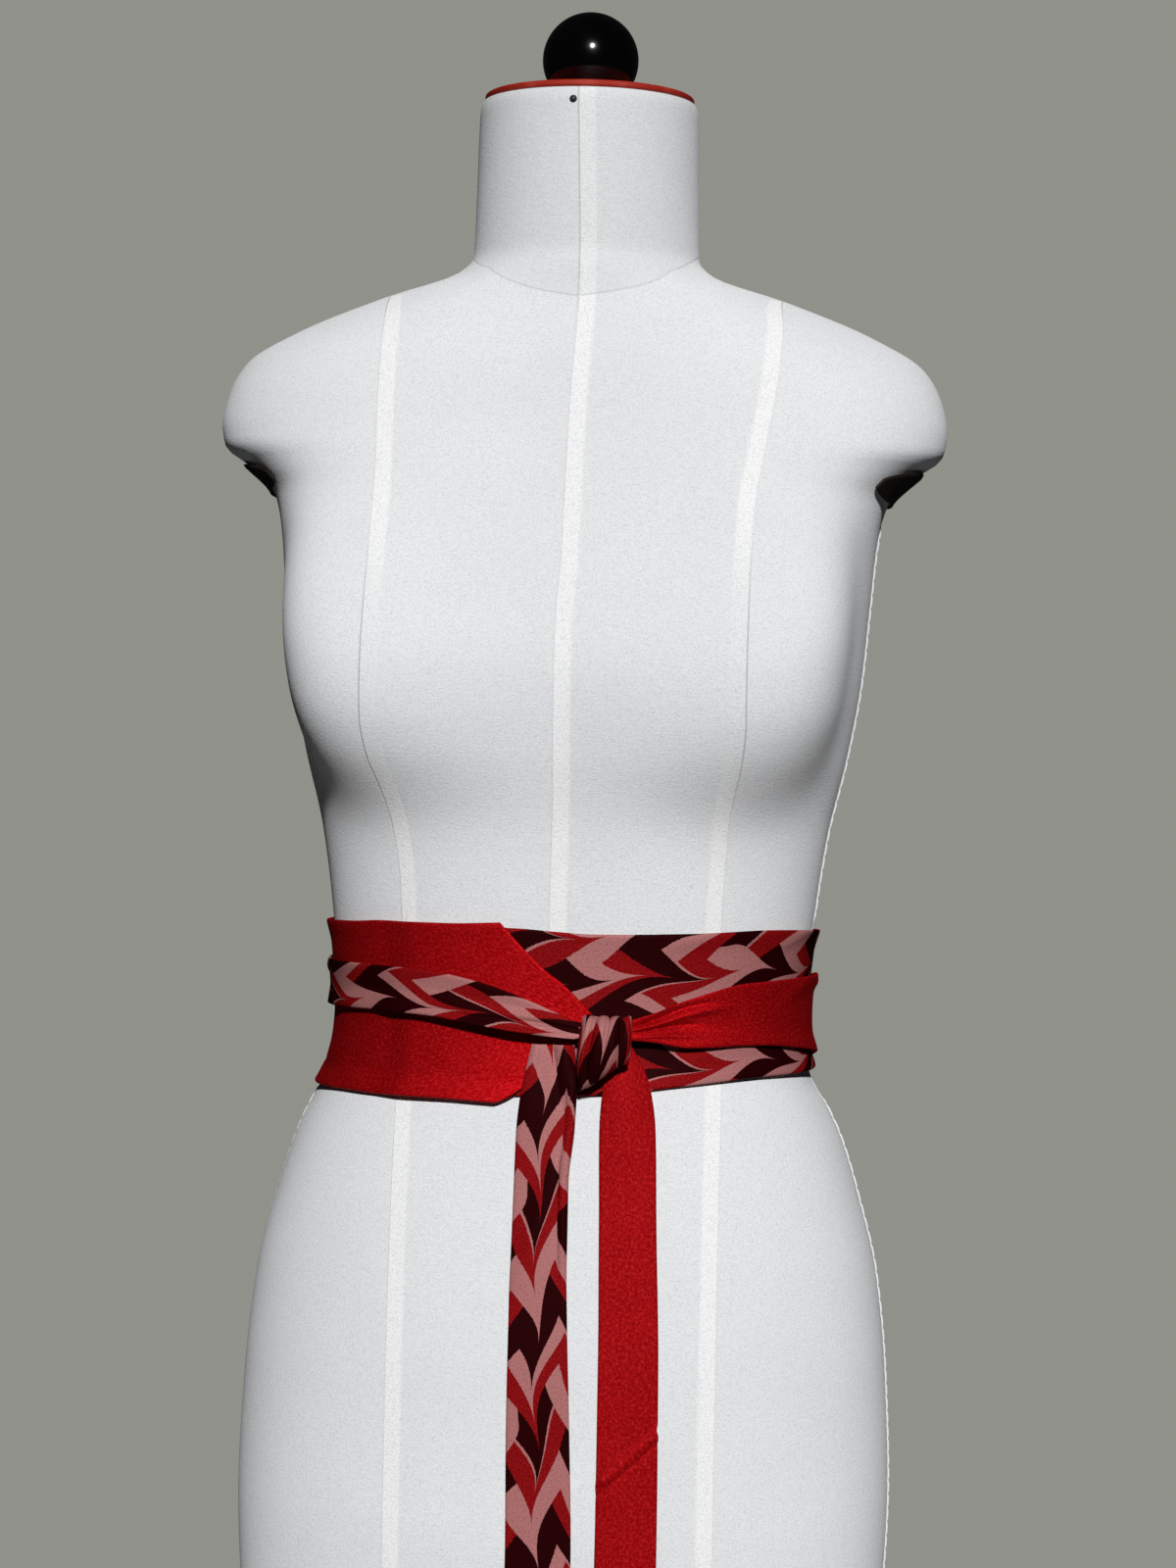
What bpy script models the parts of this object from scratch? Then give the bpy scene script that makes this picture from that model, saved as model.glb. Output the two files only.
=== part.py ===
"""A two-colour obi sash tied on a limbless dress form that stands on a pole and a round base.

Metres, +Z up, the form's front towards -Y. The origin is the middle of the base's underside. Sizes and tables are in
millimetres. Heights in the form's and the sash's tables are measured from the waist, the form's narrowest height, and
a turn is an angle round the form in degrees, 0 in front and positive towards +X.
"""

import bmesh
import bpy
import numpy as np

MM = 0.001
GAP = 0.3  # between pieces that meet face to face
WAIST = 1040.0  # height of the waist above the floor

# Stand: a round base, a pole and a flange under the form.
BASE_RADIUS = 185.0
BASE_HEIGHT = 14.0
BASE_EDGE = 3.0
POLE_RADIUS = 14.0
FLANGE_RADIUS = 48.0
FLANGE_HEIGHT = 7.0
SOCKET_RADIUS = 20.0
SOCKET_HEIGHT = 42.0

# The neck's leather cap and the ball on it.
CAP_HALF_WIDTH = 53.3
CAP_DEPTH = 58.0
CAP_HEIGHT = 3.6
CAP_ROUND = 1.0
KNOB_RADIUS = 24.5
KNOB_CENTRE = 484.0

# The dress form's sections, top to bottom: height, half width, depth in front of the axis and behind it, and
# how square the section is (2 is an ellipse).
TORSO_COLUMNS = ("z", "half_width", "front", "back", "square")
TORSO = (
    (461, 54, 58.5, 58.5, 2.0),
    (457, 55.5, 60, 60, 2.0),
    (415, 56.5, 59, 62, 2.0),
    (382, 57.5, 58, 66, 2.0),
    (373, 66, 60.5, 72, 2.0),
    (360, 105, 63, 79, 2.0),
    (343, 147, 69, 86, 2.0),
    (327, 173, 75, 91, 2.1),
    (311, 182, 80, 95, 2.2),
    (296, 185, 84, 98, 2.25),
    (284, 183, 87, 99, 2.25),
    (274, 170, 91.5, 100, 2.5),
    (260, 156, 95, 100, 2.75),
    (240, 150.5, 99, 99, 2.9),
    (205, 147, 106, 97, 2.75),
    (168, 143.5, 111, 94, 2.45),
    (130, 137, 107, 90, 2.3),
    (90, 128, 99, 86, 2.3),
    (47, 122, 95, 82, 2.3),
    (0, 118, 92.5, 80, 2.3),
    (-27, 121, 94.5, 84, 2.3),
    (-44, 129.5, 97.5, 88, 2.3),
    (-62, 138, 100.5, 93, 2.3),
    (-90, 147, 105, 101, 2.3),
    (-130, 157, 109, 111, 2.3),
    (-180, 162.5, 112, 118, 2.3),
    (-240, 165, 112, 119, 2.3),
    (-300, 162.5, 107, 115, 2.3),
    (-352, 158.5, 101, 110, 2.3),
    (-360, 152.5, 96, 105, 2.3),
)
TORSO_AROUND = 40
TORSO_ROW = 32.0  # two sections farther apart than this get a row between them
TORSO_BOTTOM = TORSO[-1][0]
TORSO_TOP = TORSO[0][0]
# Each side of the bust swells by this much, round a middle at this height and turn from the front.
BUST = {"z": 168, "turn": 37, "swell": 34, "above": 88, "below": 57, "fall": 3.1, "across": 22.5}

# A leather plate under each shoulder stump: middle height, half height and half turn, and its wall.
PLATE = {"z": 268, "half_height": 9.5, "half_turn": 30, "lift": 1.0, "wall": 1.0}

# Sash. Its wall, and the distances from the form to the inner side of the first, second and third layer.
WALL = 1.6
LAYER = (0.9, 3.0, 5.1)

# Each stretch of the sash round the form: turn, height of the upper and lower edge, distance of its inner side from
# the form, and how far each edge stands off beyond that, over the width of the hem.
HEM = 12.0
STRETCH_COLUMNS = ("turn", "top", "bottom", "lift", "top_flare", "bottom_flare")
RED_PANEL = (
    (-10, 47, -42, LAYER[1], 0.2, 0.6),
    (-22, 46, -41, LAYER[1], 0.3, 0.8),
    (-31, 46, -41, LAYER[1], 0.4, 0.9),
    (-42, 46, -40.5, LAYER[0], 0.6, 0.8),
    (-55, 45, -40, LAYER[0], 1.0, 1.0),
    (-80, 44.5, -40, LAYER[0], 1.4, 1.2),
    (-110, 44, -40, LAYER[0], 1.2, 1.0),
    (-130, 36, -38, LAYER[0], 0, 1.0),
    (-146, 18, -35, LAYER[0], 0, 0.3),
    (-157, 1, -33, LAYER[0], 0, 0),
)
RED_POINT = 17.0  # turn from the red panel's front corners to its point
PRINT_PANEL = (
    (-24, 45, -39, LAYER[0], 0, 0),
    (-6, 44, -38, LAYER[0], 0, 0.1),
    (6, 42, -37, LAYER[0], 0.2, 0.4),
    (28, 43, -32, LAYER[0], 0.5, 0.8),
    (54, 45, -28, LAYER[0], 1.0, 1.5),
    (91, 44, -27, LAYER[0], 1.6, 1.6),
    (108, 43, -26, LAYER[0], 1.4, 0.2),
    (118, 42, -24, LAYER[0], 1.2, 0),
    (134, 39, -15, LAYER[0], 0.5, 0),
    (148, 35, -4, LAYER[0], 0.1, 0),
    (157, 33, 4, LAYER[0], 0, 0),
)
# The red tie starts behind the left side, where its panel's taper ends, and runs across the back to the right.
RED_TIE = (
    (-157.4, 0.5, -33, LAYER[0], 0, 0),
    (-188, 1, -33, LAYER[0], 0, 0),
    (-203, 3, -33, LAYER[1], 0, 0),
    (-230, 12, -30, LAYER[1], 0.2, 0.2),
    (-268, 22, -19.5, LAYER[1], 1.2, 1.6),
    (-313, 19, -12.5, LAYER[1], 0.3, 1.2),
    (-331, 11, -13.5, LAYER[1] + 1.0, 0.2, 3.0),
    (-341, 3.5, -10.5, LAYER[1] + 3.6, 0, 2.5),
    (-348, -1, -9.5, LAYER[1] + 7.2, 0, 0.5),
)
# The print tie starts behind the right side and runs across the back to the left.
PRINT_TIE = (
    (157.4, 33, 3.5, LAYER[0], 0, 0),
    (188, 33, 3.5, LAYER[0], 0, 0),
    (203, 33, 3.5, LAYER[1], 0, 0),
    (230, 30, 3, LAYER[1], 0, 0),
    (279, 25, 1, LAYER[1], 0.3, 0.6),
    (312, 24, 1.5, LAYER[1], 0.3, 1.6),
    (325, 23.5, 1, LAYER[2], 0.2, 3.2),
    (335, 22, 0, LAYER[2] + 0.3, 0.2, 5.0),
    (347, 17, -4, LAYER[2] + 1.4, 0.1, 6.0),
    (357.5, 8, -8, LAYER[2] + 3.4, 0, 4.5),
    (363, 0.5, -9.5, LAYER[2] + 4.2, 0, 1.5),
    (368.5, -3.5, -10, LAYER[2] + 4.8, 0, 0),
)
# The red tie's pleats, which open out from the knot, and the print tie's lengthwise folds: how many waves cross the
# tie, how deep they are at the knot, and the turn that they fade over.
RED_PLEATS = {"waves": 2.5, "depth": 1.5, "fade": 40}
PRINT_FOLDS = {"waves": 1.5, "depth": 0.9, "fade": 60}

# The knot's print loop: its left and right edge, top, lower left and lower right corner, and how far its back, its
# edges and its middle stand in front of the form's axis.
LOOP = {
    "left": 14.0,
    "right": 39.5,
    "top": 2.5,
    "left_bottom": -30.5,
    "right_bottom": -18.5,
    "top_back": 102.0,
    "bottom_back": 104.6,
    "edge": 108.5,
    "front": 117.0,
    "lean": 1.5,
}

# The tails: height, left edge, right edge, the panels' height under them and how far the middle stands off beyond the
# taut line from the knot over the belly.
TAIL_COLUMNS = ("z", "left", "right", "under", "off")
PRINT_TAIL = (
    (-12, -10, 10.5, LAYER[2], 0.0),
    (-22, -12, 11.5, LAYER[2], 0.2),
    (-34, -14.5, 12, LAYER[2] - 1, 0.5),
    (-52, -16.5, 13.5, 0, 0.8),
    (-100, -17, 13, 0, 0.6),
    (-170, -17.5, 12.5, 0, 0.1),
    (-265, -18.5, 14, 0, 0.4),
    (-360, -18.5, 13.5, 0, 1.5),
    (-468, -19, 13.5, 0, 1.0),
)
RED_TAIL = (
    (-13, 29, 38, LAYER[1], 0.2),
    (-18, 28, 41, LAYER[1], 0.4),
    (-24, 26.5, 44.5, LAYER[1], 0.8),
    (-33, 25, 47.5, LAYER[1], 1.0),
    (-52, 24, 50.5, 0, 0.8),
    (-100, 25, 52.5, 0, 0.5),
    (-170, 26, 55, 0, 0.1),
    (-263, 25, 54.5, 0, 0.3),
    (-360, 24.5, 54, 0, 0.8),
    (-446, 25, 54, 0, 1.0),
)
TAIL_ROWS = 34
TAIL_ACROSS = 6
TAIL_CLEAR = 0.6  # from what a tail lies on to its inner side

RED_SATIN = (0.42, 0.004, 0.009)
PRINT_SATIN = (0.3, 0.05, 0.05)
CALICO = (0.75, 0.75, 0.73)
RED_LEATHER = (0.5, 0.03, 0.02)
BROWN_LEATHER = (0.03, 0.015, 0.01)
BLACK_GLOSS = (0.01, 0.01, 0.01)
DARK_METAL = (0.03, 0.03, 0.03)


def column(table, columns, name):
    """One column of a table as an array."""
    return np.array([row[columns.index(name)] for row in table], float)


def smooth(at, knots, values):
    """A curve through the values that never overshoots them, read at one place or many."""
    knots, values = np.asarray(knots, float), np.asarray(values, float)
    if knots[0] > knots[-1]:
        knots, values = knots[::-1], values[::-1]
    step = np.diff(knots)
    rise = np.diff(values) / step
    slope = np.zeros(len(knots))
    turning = rise[:-1] * rise[1:] > 0
    total = np.where(turning, rise[:-1] + rise[1:], 1)
    slope[1:-1] = np.where(turning, 2 * rise[:-1] * rise[1:] / total, 0)
    slope[0], slope[-1] = rise[0], rise[-1]
    at = np.clip(at, knots[0], knots[-1])
    i = np.clip(np.searchsorted(knots, at) - 1, 0, len(step) - 1)
    t = (at - knots[i]) / step[i]
    ends = values[i] * (1 + 2 * t) * (1 - t) ** 2 + values[i + 1] * (3 - 2 * t) * t**2
    return ends + step[i] * (slope[i] * t * (1 - t) ** 2 - slope[i + 1] * t**2 * (1 - t))


def ease(t):
    """0 to 1, slow at both ends, as t goes from 0 to 1."""
    t = np.clip(t, 0, 1)
    return t * t * (3 - 2 * t)


def torso_point(turn, z):
    """The form's surface at a turn and a height, which may be arrays."""
    turn, z = np.broadcast_arrays(np.asarray(turn, float), np.asarray(z, float))
    heights = column(TORSO, TORSO_COLUMNS, "z")
    wide, front, back, square = (
        smooth(z, heights, column(TORSO, TORSO_COLUMNS, name)) for name in TORSO_COLUMNS[1:]
    )
    turn = (turn + 180) % 360 - 180
    above = np.exp(-(((z - BUST["z"]) / BUST["above"]) ** 2))
    below = np.exp(-(np.abs((z - BUST["z"]) / BUST["below"]) ** BUST["fall"]))
    across = np.exp(-(((np.abs(turn) - BUST["turn"]) / BUST["across"]) ** 2))
    swell = np.where(z > BUST["z"], above, below) * across
    s, c = np.sin(np.radians(turn)), np.cos(np.radians(turn))
    x = wide * np.sign(s) * np.abs(s) ** (2 / square)
    y = -np.where(c > 0, front, back) * np.sign(c) * np.abs(c) ** (2 / square)
    reach = 1 + BUST["swell"] * swell / np.hypot(x, y)
    return np.stack([x * reach, y * reach, z], axis=-1)


def unit(vectors):
    """The vectors at length 1."""
    return vectors / np.linalg.norm(vectors, axis=-1, keepdims=True)


def torso_normal(turn, z):
    """The direction straight out of the form at a turn and a height."""
    around = torso_point(turn + 1.0, z) - torso_point(turn - 1.0, z)
    upward = torso_point(turn, z + 2.0) - torso_point(turn, z - 2.0)
    return unit(np.cross(around, upward))


def torso_front(x, z):
    """How far the form's front reaches before the axis at a sideways place and a height."""
    turns = np.linspace(-50, 50, 201)
    points = torso_point(turns, z)
    return float(np.interp(x, points[:, 0], -points[:, 1]))


# --- solids


def material(name, colour, roughness, metallic=0.0):
    """A plain Principled material."""
    made = bpy.data.materials.new(name)
    made.use_nodes = True
    shader = made.node_tree.nodes["Principled BSDF"]
    shader.inputs["Base Color"].default_value = (*colour, 1)
    shader.inputs["Roughness"].default_value = roughness
    shader.inputs["Metallic"].default_value = metallic
    return made


def place(name, mesh_data, finish, above_waist=True):
    """An object from bmesh geometry in millimetres, shaded smooth, with its faces pointing out."""
    bmesh.ops.scale(mesh_data, vec=(MM, MM, MM), verts=mesh_data.verts)
    bmesh.ops.recalc_face_normals(mesh_data, faces=mesh_data.faces)
    mesh = bpy.data.meshes.new(name)
    mesh_data.to_mesh(mesh)
    mesh_data.free()
    mesh.shade_smooth()
    mesh.set_sharp_from_angle(angle=np.radians(40))
    mesh.materials.append(finish)
    made = bpy.data.objects.new(name, mesh)
    made.location.z = WAIST * MM if above_waist else 0
    bpy.context.collection.objects.link(made)
    return made


def rings_solid(name, rings, finish, above_waist=True):
    """A closed solid through rings of points, bottom to top, with flat ends."""
    mesh_data = bmesh.new()
    loops = [[mesh_data.verts.new(p) for p in ring] for ring in rings]
    for low, high in zip(loops, loops[1:]):
        for i, corner in enumerate(low):
            after = (i + 1) % len(low)
            mesh_data.faces.new((corner, low[after], high[after], high[i]))
    mesh_data.faces.new(loops[0][::-1])
    mesh_data.faces.new(loops[-1])
    return place(name, mesh_data, finish, above_waist)


def turned_solid(name, profile, finish, sides=32, above_waist=True, wide=1.0, deep=1.0):
    """A closed solid of revolution from (radius, height) pairs, bottom to top, stretched to an oval if asked."""
    angles = np.arange(sides) * 2 * np.pi / sides
    rings = [
        np.stack([wide * r * np.cos(angles), deep * r * np.sin(angles), np.full(sides, float(z))], axis=1)
        for r, z in profile
    ]
    return rings_solid(name, rings, finish, above_waist)


def wall_solid(name, inner, outward, thickness, finish):
    """A closed wall on a grid of points, as thick as given along the grid's outward directions."""
    outer = inner + thickness * outward
    rows, across = inner.shape[:2]
    mesh_data = bmesh.new()
    near = [[mesh_data.verts.new(p) for p in row] for row in inner]
    far = [[mesh_data.verts.new(p) for p in row] for row in outer]
    for i in range(rows - 1):
        for j in range(across - 1):
            mesh_data.faces.new((near[i][j], near[i][j + 1], near[i + 1][j + 1], near[i + 1][j]))
            mesh_data.faces.new((far[i][j], far[i + 1][j], far[i + 1][j + 1], far[i][j + 1]))
    for i in range(rows - 1):
        for j in (0, across - 1):
            mesh_data.faces.new((near[i][j], near[i + 1][j], far[i + 1][j], far[i][j]))
    for j in range(across - 1):
        for i in (0, rows - 1):
            mesh_data.faces.new((near[i][j], far[i][j], far[i][j + 1], near[i][j + 1]))
    return place(name, mesh_data, finish)


# --- dress form and stand


def build_stand():
    """The base, the pole and the flange that carries the form."""
    metal = material("stand_metal", DARK_METAL, 0.4, 1.0)
    base = ((BASE_RADIUS, 0), (BASE_RADIUS, BASE_HEIGHT - BASE_EDGE), (BASE_RADIUS - BASE_EDGE, BASE_HEIGHT))
    turned_solid("stand_base", base, metal, sides=64, above_waist=False)
    underside = WAIST + TORSO_BOTTOM
    pole_top = underside - FLANGE_HEIGHT - SOCKET_HEIGHT - 2 * GAP
    pole = ((POLE_RADIUS, BASE_HEIGHT + GAP), (POLE_RADIUS, pole_top))
    turned_solid("stand_pole", pole, metal, sides=24, above_waist=False)
    flange = (
        (SOCKET_RADIUS, pole_top + GAP),
        (SOCKET_RADIUS, underside - GAP - FLANGE_HEIGHT),
        (FLANGE_RADIUS, underside - GAP - FLANGE_HEIGHT),
        (FLANGE_RADIUS, underside - GAP),
    )
    turned_solid("stand_flange", flange, metal, sides=32, above_waist=False)


def build_torso():
    """The calico-covered body, neck and shoulder stumps in one solid."""
    heights = column(TORSO, TORSO_COLUMNS, "z")[::-1]
    middles = (heights[1:] + heights[:-1]) / 2
    levels = np.sort(np.concatenate([heights, middles[np.diff(heights) > TORSO_ROW]]))
    turns = np.arange(TORSO_AROUND) * 360 / TORSO_AROUND - 180
    rings = [torso_point(turns, z) for z in levels]
    rings_solid("torso_form", rings, material("calico", CALICO, 0.9))


def build_neck():
    """The leather cap on the neck and the ball on the cap."""
    low = TORSO_TOP + GAP
    high = low + CAP_HEIGHT
    inset = 1 - CAP_ROUND / CAP_HALF_WIDTH
    cap = ((inset, low), (1, low + CAP_ROUND), (1, high - CAP_ROUND), (inset, high))
    leather = material("red_leather", RED_LEATHER, 0.5)
    turned_solid("neck_cap", cap, leather, sides=40, wide=CAP_HALF_WIDTH, deep=CAP_DEPTH)
    foot = np.arcsin((high + GAP - KNOB_CENTRE) / KNOB_RADIUS)
    lifts = np.linspace(foot, np.radians(84), 11)
    ball = [(KNOB_RADIUS * np.cos(a), KNOB_CENTRE + KNOB_RADIUS * np.sin(a)) for a in lifts]
    turned_solid("knob", ball, material("black_gloss", BLACK_GLOSS, 0.1), sides=24)


def build_armhole_plates():
    """A leather plate under each shoulder stump, made from the form's own points."""
    leather = material("brown_leather", BROWN_LEATHER, 0.5)
    along = np.linspace(-0.96, 0.96, 13)[:, None]
    across = np.linspace(-1, 1, 7)[None, :]
    z = PLATE["z"] + PLATE["half_height"] * across * np.sqrt(1 - along**2)
    for name, middle in (("armhole_plate_left", -90), ("armhole_plate_right", 90)):
        turn = middle + PLATE["half_turn"] * along + 0 * across
        outward = torso_normal(turn, z)
        wall_solid(name, torso_point(turn, z) + PLATE["lift"] * outward, outward, PLATE["wall"], leather)


# --- sash


def stretch_grid(table, across, step=5.5, point=0.0, relief=None):
    """Inner points and outward directions of a stretch round the form.

    The rows follow the turn and the columns go from the lower to the upper edge. point moves the middle of the first
    row on by that turn, so that the stretch ends in an arrow, and relief(turn, share) adds to its distance.
    """
    turns = column(table, STRETCH_COLUMNS, "turn")
    start, end = turns[0], turns[-1]
    rows = int(abs(end - start) / step) + 1
    turn = np.linspace(start, end, rows)[:, None]
    share = np.linspace(0, 1, across + 1)[None, :]
    top, bottom, top_flare, bottom_flare = (
        smooth(turn, turns, column(table, STRETCH_COLUMNS, name))
        for name in ("top", "bottom", "top_flare", "bottom_flare")
    )
    z = bottom + (top - bottom) * share
    back_from_end = np.abs(turn - start)
    arrow = np.where(share > 0.5, 2 - 2 * share, (2 * np.minimum(share, 0.5)) ** 0.65)
    shift = point * ease(1 - back_from_end / (4 * max(point, 1))) * arrow
    moved = turn + shift + 0 * share
    lift = smooth(moved, turns, column(table, STRETCH_COLUMNS, "lift"))
    lift = lift + top_flare * ease(1 - (top - z) / HEM) + bottom_flare * ease(1 - (z - bottom) / HEM)
    if relief is not None:
        lift = lift + relief(turn, share)
    outward = torso_normal(moved, z)
    return torso_point(moved, z) + lift[..., None] * outward, outward


def fading_waves(folds, knot_turn):
    """Lengthwise folds that are deepest at the knot and fade away from it."""

    def relief(turn, share):
        depth = folds["depth"] * ease(1 - np.abs(turn - knot_turn) / folds["fade"])
        return depth * (1 - np.cos(2 * np.pi * folds["waves"] * share)) / 2

    return relief


def build_panels(red, printed):
    """The two wide stretches: the red one's arrow lies over the print one's plain end in front."""
    inner, outward = stretch_grid(RED_PANEL, 8, point=RED_POINT)
    wall_solid("red_panel", inner, outward, WALL, red)
    inner, outward = stretch_grid(PRINT_PANEL, 8)
    wall_solid("print_panel", inner, outward, WALL, printed)


def build_ties(red, printed):
    """The two narrow stretches across the back and round each side to the knot."""
    red_end = RED_TIE[-1][0]
    inner, outward = stretch_grid(RED_TIE, 10, relief=fading_waves(RED_PLEATS, red_end))
    wall_solid("red_tie", inner, outward, WALL, red)
    print_end = PRINT_TIE[-1][0]
    inner, outward = stretch_grid(PRINT_TIE, 10, relief=fading_waves(PRINT_FOLDS, print_end))
    wall_solid("print_tie", inner, outward, WALL, printed)


def build_knot_loop(printed):
    """The turn of the print tie that shows: it comes over the top, swells in front and goes under at the bottom."""
    turn_over = np.radians(np.linspace(90, -90, 15))[:, None]
    across = np.linspace(0, 1, 9)[None, :]
    bottom = LOOP["left_bottom"] + (LOOP["right_bottom"] - LOOP["left_bottom"]) * ease(across)
    middle, half = (LOOP["top"] + bottom) / 2, (LOOP["top"] - bottom) / 2
    z = middle + half * np.sin(turn_over)
    swell = LOOP["edge"] + (LOOP["front"] - LOOP["edge"]) * np.sin(np.pi * across) ** 0.8
    back = LOOP["top_back"] + (LOOP["bottom_back"] - LOOP["top_back"]) * (1 - np.sin(turn_over)) / 2
    y = -(back + (swell - back) * np.cos(turn_over) ** 0.7)
    lean = LOOP["lean"] * (LOOP["top"] - z) / (LOOP["top"] - LOOP["left_bottom"])
    x = LOOP["left"] + (LOOP["right"] - LOOP["left"]) * across - lean
    outer = np.stack([x, y, z], axis=-1)
    along_path = np.gradient(outer, axis=0)
    along_width = np.gradient(outer, axis=1)
    outward = unit(np.cross(along_path, along_width))
    wall_solid("knot_loop", outer - WALL * outward, outward, WALL, printed)


def taut(heights, reach):
    """The reach of a cloth that hangs from the top and is held out by what it passes."""
    line = reach.copy()
    farthest = int(np.argmax(reach))
    line[farthest:] = reach[farthest]
    i = 0
    while i < farthest:
        slopes = (reach[i + 1 : farthest + 1] - reach[i]) / (heights[i] - heights[i + 1 : farthest + 1])
        nxt = i + 1 + int(np.argmax(slopes))
        line[i : nxt + 1] = np.interp(heights[i : nxt + 1][::-1], heights[[nxt, i]], reach[[nxt, i]])[::-1]
        i = nxt
    return line


def tail_grid(table):
    """Inner points and outward directions of a tail, from the knot down."""
    knots = column(table, TAIL_COLUMNS, "z")
    z = np.linspace(knots[0], knots[-1], TAIL_ROWS)
    share = np.linspace(0, 1, TAIL_ACROSS + 1)
    left, right, under, off = (smooth(z, knots, column(table, TAIL_COLUMNS, name)) for name in TAIL_COLUMNS[1:])
    x = left[:, None] + (right - left)[:, None] * share[None, :]
    beside = np.linspace(x.min(), x.max(), 9)
    carried = np.maximum(z, TORSO_BOTTOM)
    fronts = [np.array([torso_front(place_x, height) for height in carried]) for place_x in beside]
    lines = np.array([taut(z, front + under) for front in fronts])
    reach = np.array([np.interp(x[i], beside, lines[:, i]) for i in range(TAIL_ROWS)])
    bow = off[:, None] * np.sin(np.pi * share)[None, :]
    y = -(reach + TAIL_CLEAR + bow)
    inner = np.stack([x, y, np.repeat(z[:, None], TAIL_ACROSS + 1, axis=1)], axis=-1)
    down, sideways = np.gradient(inner, axis=0), np.gradient(inner, axis=1)
    return inner, unit(np.cross(down, sideways))


def build_tails(red, printed):
    """The two free ends."""
    for name, table, finish in (("print_tail", PRINT_TAIL, printed), ("red_tail", RED_TAIL, red)):
        inner, outward = tail_grid(table)
        wall_solid(name, inner, outward, WALL, finish)


def main():
    for old in list(bpy.data.objects):
        bpy.data.objects.remove(old, do_unlink=True)
    build_stand()
    build_torso()
    build_neck()
    build_armhole_plates()
    red = material("red_satin", RED_SATIN, 0.45)
    printed = material("print_satin", PRINT_SATIN, 0.45)
    build_panels(red, printed)
    build_ties(red, printed)
    build_knot_loop(printed)
    build_tails(red, printed)


main()
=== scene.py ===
"""Looks of the two-colour obi sash on its dress form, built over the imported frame.

The frame is in metres. Sizes and tables below are in millimetres, as in the part's own source. Heights are
measured from the waist, and a turn is an angle round the form in degrees, 0 in front (-Y) and positive
towards +X.
"""

import math

import bmesh
import bpy
import numpy as np
from mathutils import Matrix, Vector


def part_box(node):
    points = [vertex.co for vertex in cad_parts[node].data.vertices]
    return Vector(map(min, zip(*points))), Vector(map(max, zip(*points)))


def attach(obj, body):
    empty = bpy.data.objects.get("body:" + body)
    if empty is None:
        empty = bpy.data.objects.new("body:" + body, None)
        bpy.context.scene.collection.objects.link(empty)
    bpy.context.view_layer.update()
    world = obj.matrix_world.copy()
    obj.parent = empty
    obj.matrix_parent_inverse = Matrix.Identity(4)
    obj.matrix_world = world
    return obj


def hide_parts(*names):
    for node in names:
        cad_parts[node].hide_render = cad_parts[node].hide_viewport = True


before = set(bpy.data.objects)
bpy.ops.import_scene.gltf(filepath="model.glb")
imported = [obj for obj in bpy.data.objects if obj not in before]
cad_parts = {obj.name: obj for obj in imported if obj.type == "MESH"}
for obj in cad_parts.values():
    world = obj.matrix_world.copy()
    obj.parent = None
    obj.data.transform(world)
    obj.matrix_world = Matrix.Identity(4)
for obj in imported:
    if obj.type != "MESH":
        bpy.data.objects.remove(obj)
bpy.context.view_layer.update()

MM = 0.001
WAIST = 1040.0

# --- form sizes: the part's own, but for the plates and the sections just under the shoulders

# Sections: height, half width, depth in front, depth behind, and how square each one is.
TORSO = (
    (461, 54, 58.5, 58.5, 2.0),
    (457, 55.5, 60, 60, 2.0),
    (415, 56.5, 59, 62, 2.0),
    (382, 57.5, 58, 66, 2.0),
    (373, 66, 60.5, 72, 2.0),
    (360, 105, 63, 79, 2.0),
    (343, 147, 69, 86, 2.0),
    (327, 173, 75, 91, 2.1),
    (311, 182, 80, 95, 2.2),
    (296, 185, 84, 98, 2.25),
    (284, 183, 87.4, 99, 2.3),
    (274, 170, 90.4, 100, 2.42),
    (260, 156, 94, 100, 2.62),
    (240, 150.5, 98.6, 99, 2.9),
    (205, 147, 106, 97, 2.75),
    (168, 143.5, 111, 94, 2.45),
    (130, 137, 107, 90, 2.3),
    (90, 128, 99, 86, 2.3),
    (47, 122, 95, 82, 2.3),
    (0, 118, 92.5, 80, 2.3),
    (-27, 121, 94.5, 84, 2.3),
    (-44, 129.5, 97.5, 88, 2.3),
    (-62, 138, 100.5, 93, 2.3),
    (-90, 147, 105, 101, 2.3),
    (-130, 157, 109, 111, 2.3),
    (-180, 162.5, 112, 118, 2.3),
    (-240, 165, 112, 119, 2.3),
    (-300, 162.5, 107, 115, 2.3),
    (-352, 158.5, 101, 110, 2.3),
    (-360, 152.5, 96, 105, 2.3),
)
BUST = {"z": 168, "turn": 37, "swell": 34, "above": 88, "below": 57, "fall": 3.1, "across": 22.5}
PLATE = {"z": 267.5, "half_height": 8.5, "half_turn": 27, "lift": 0.7, "end": 0.985}
COVER_AROUND, COVER_ROW = 288, 3.5  # points round the cover's mesh, and the height of its rows
COVER_CLOSER = 0.7  # how much closer those points lie in front, behind and at the sides
CAP_EDGE, BASE_EDGE, POLE_EDGE = 1.4, 3.0, 0.6  # radii of the rounded edges
NAIL = {"turn": -3.0, "z": 454.6, "head": ((1.9, 0.0), (1.8, 0.35), (1.3, 0.8), (0.5, 1.05))}

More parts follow.
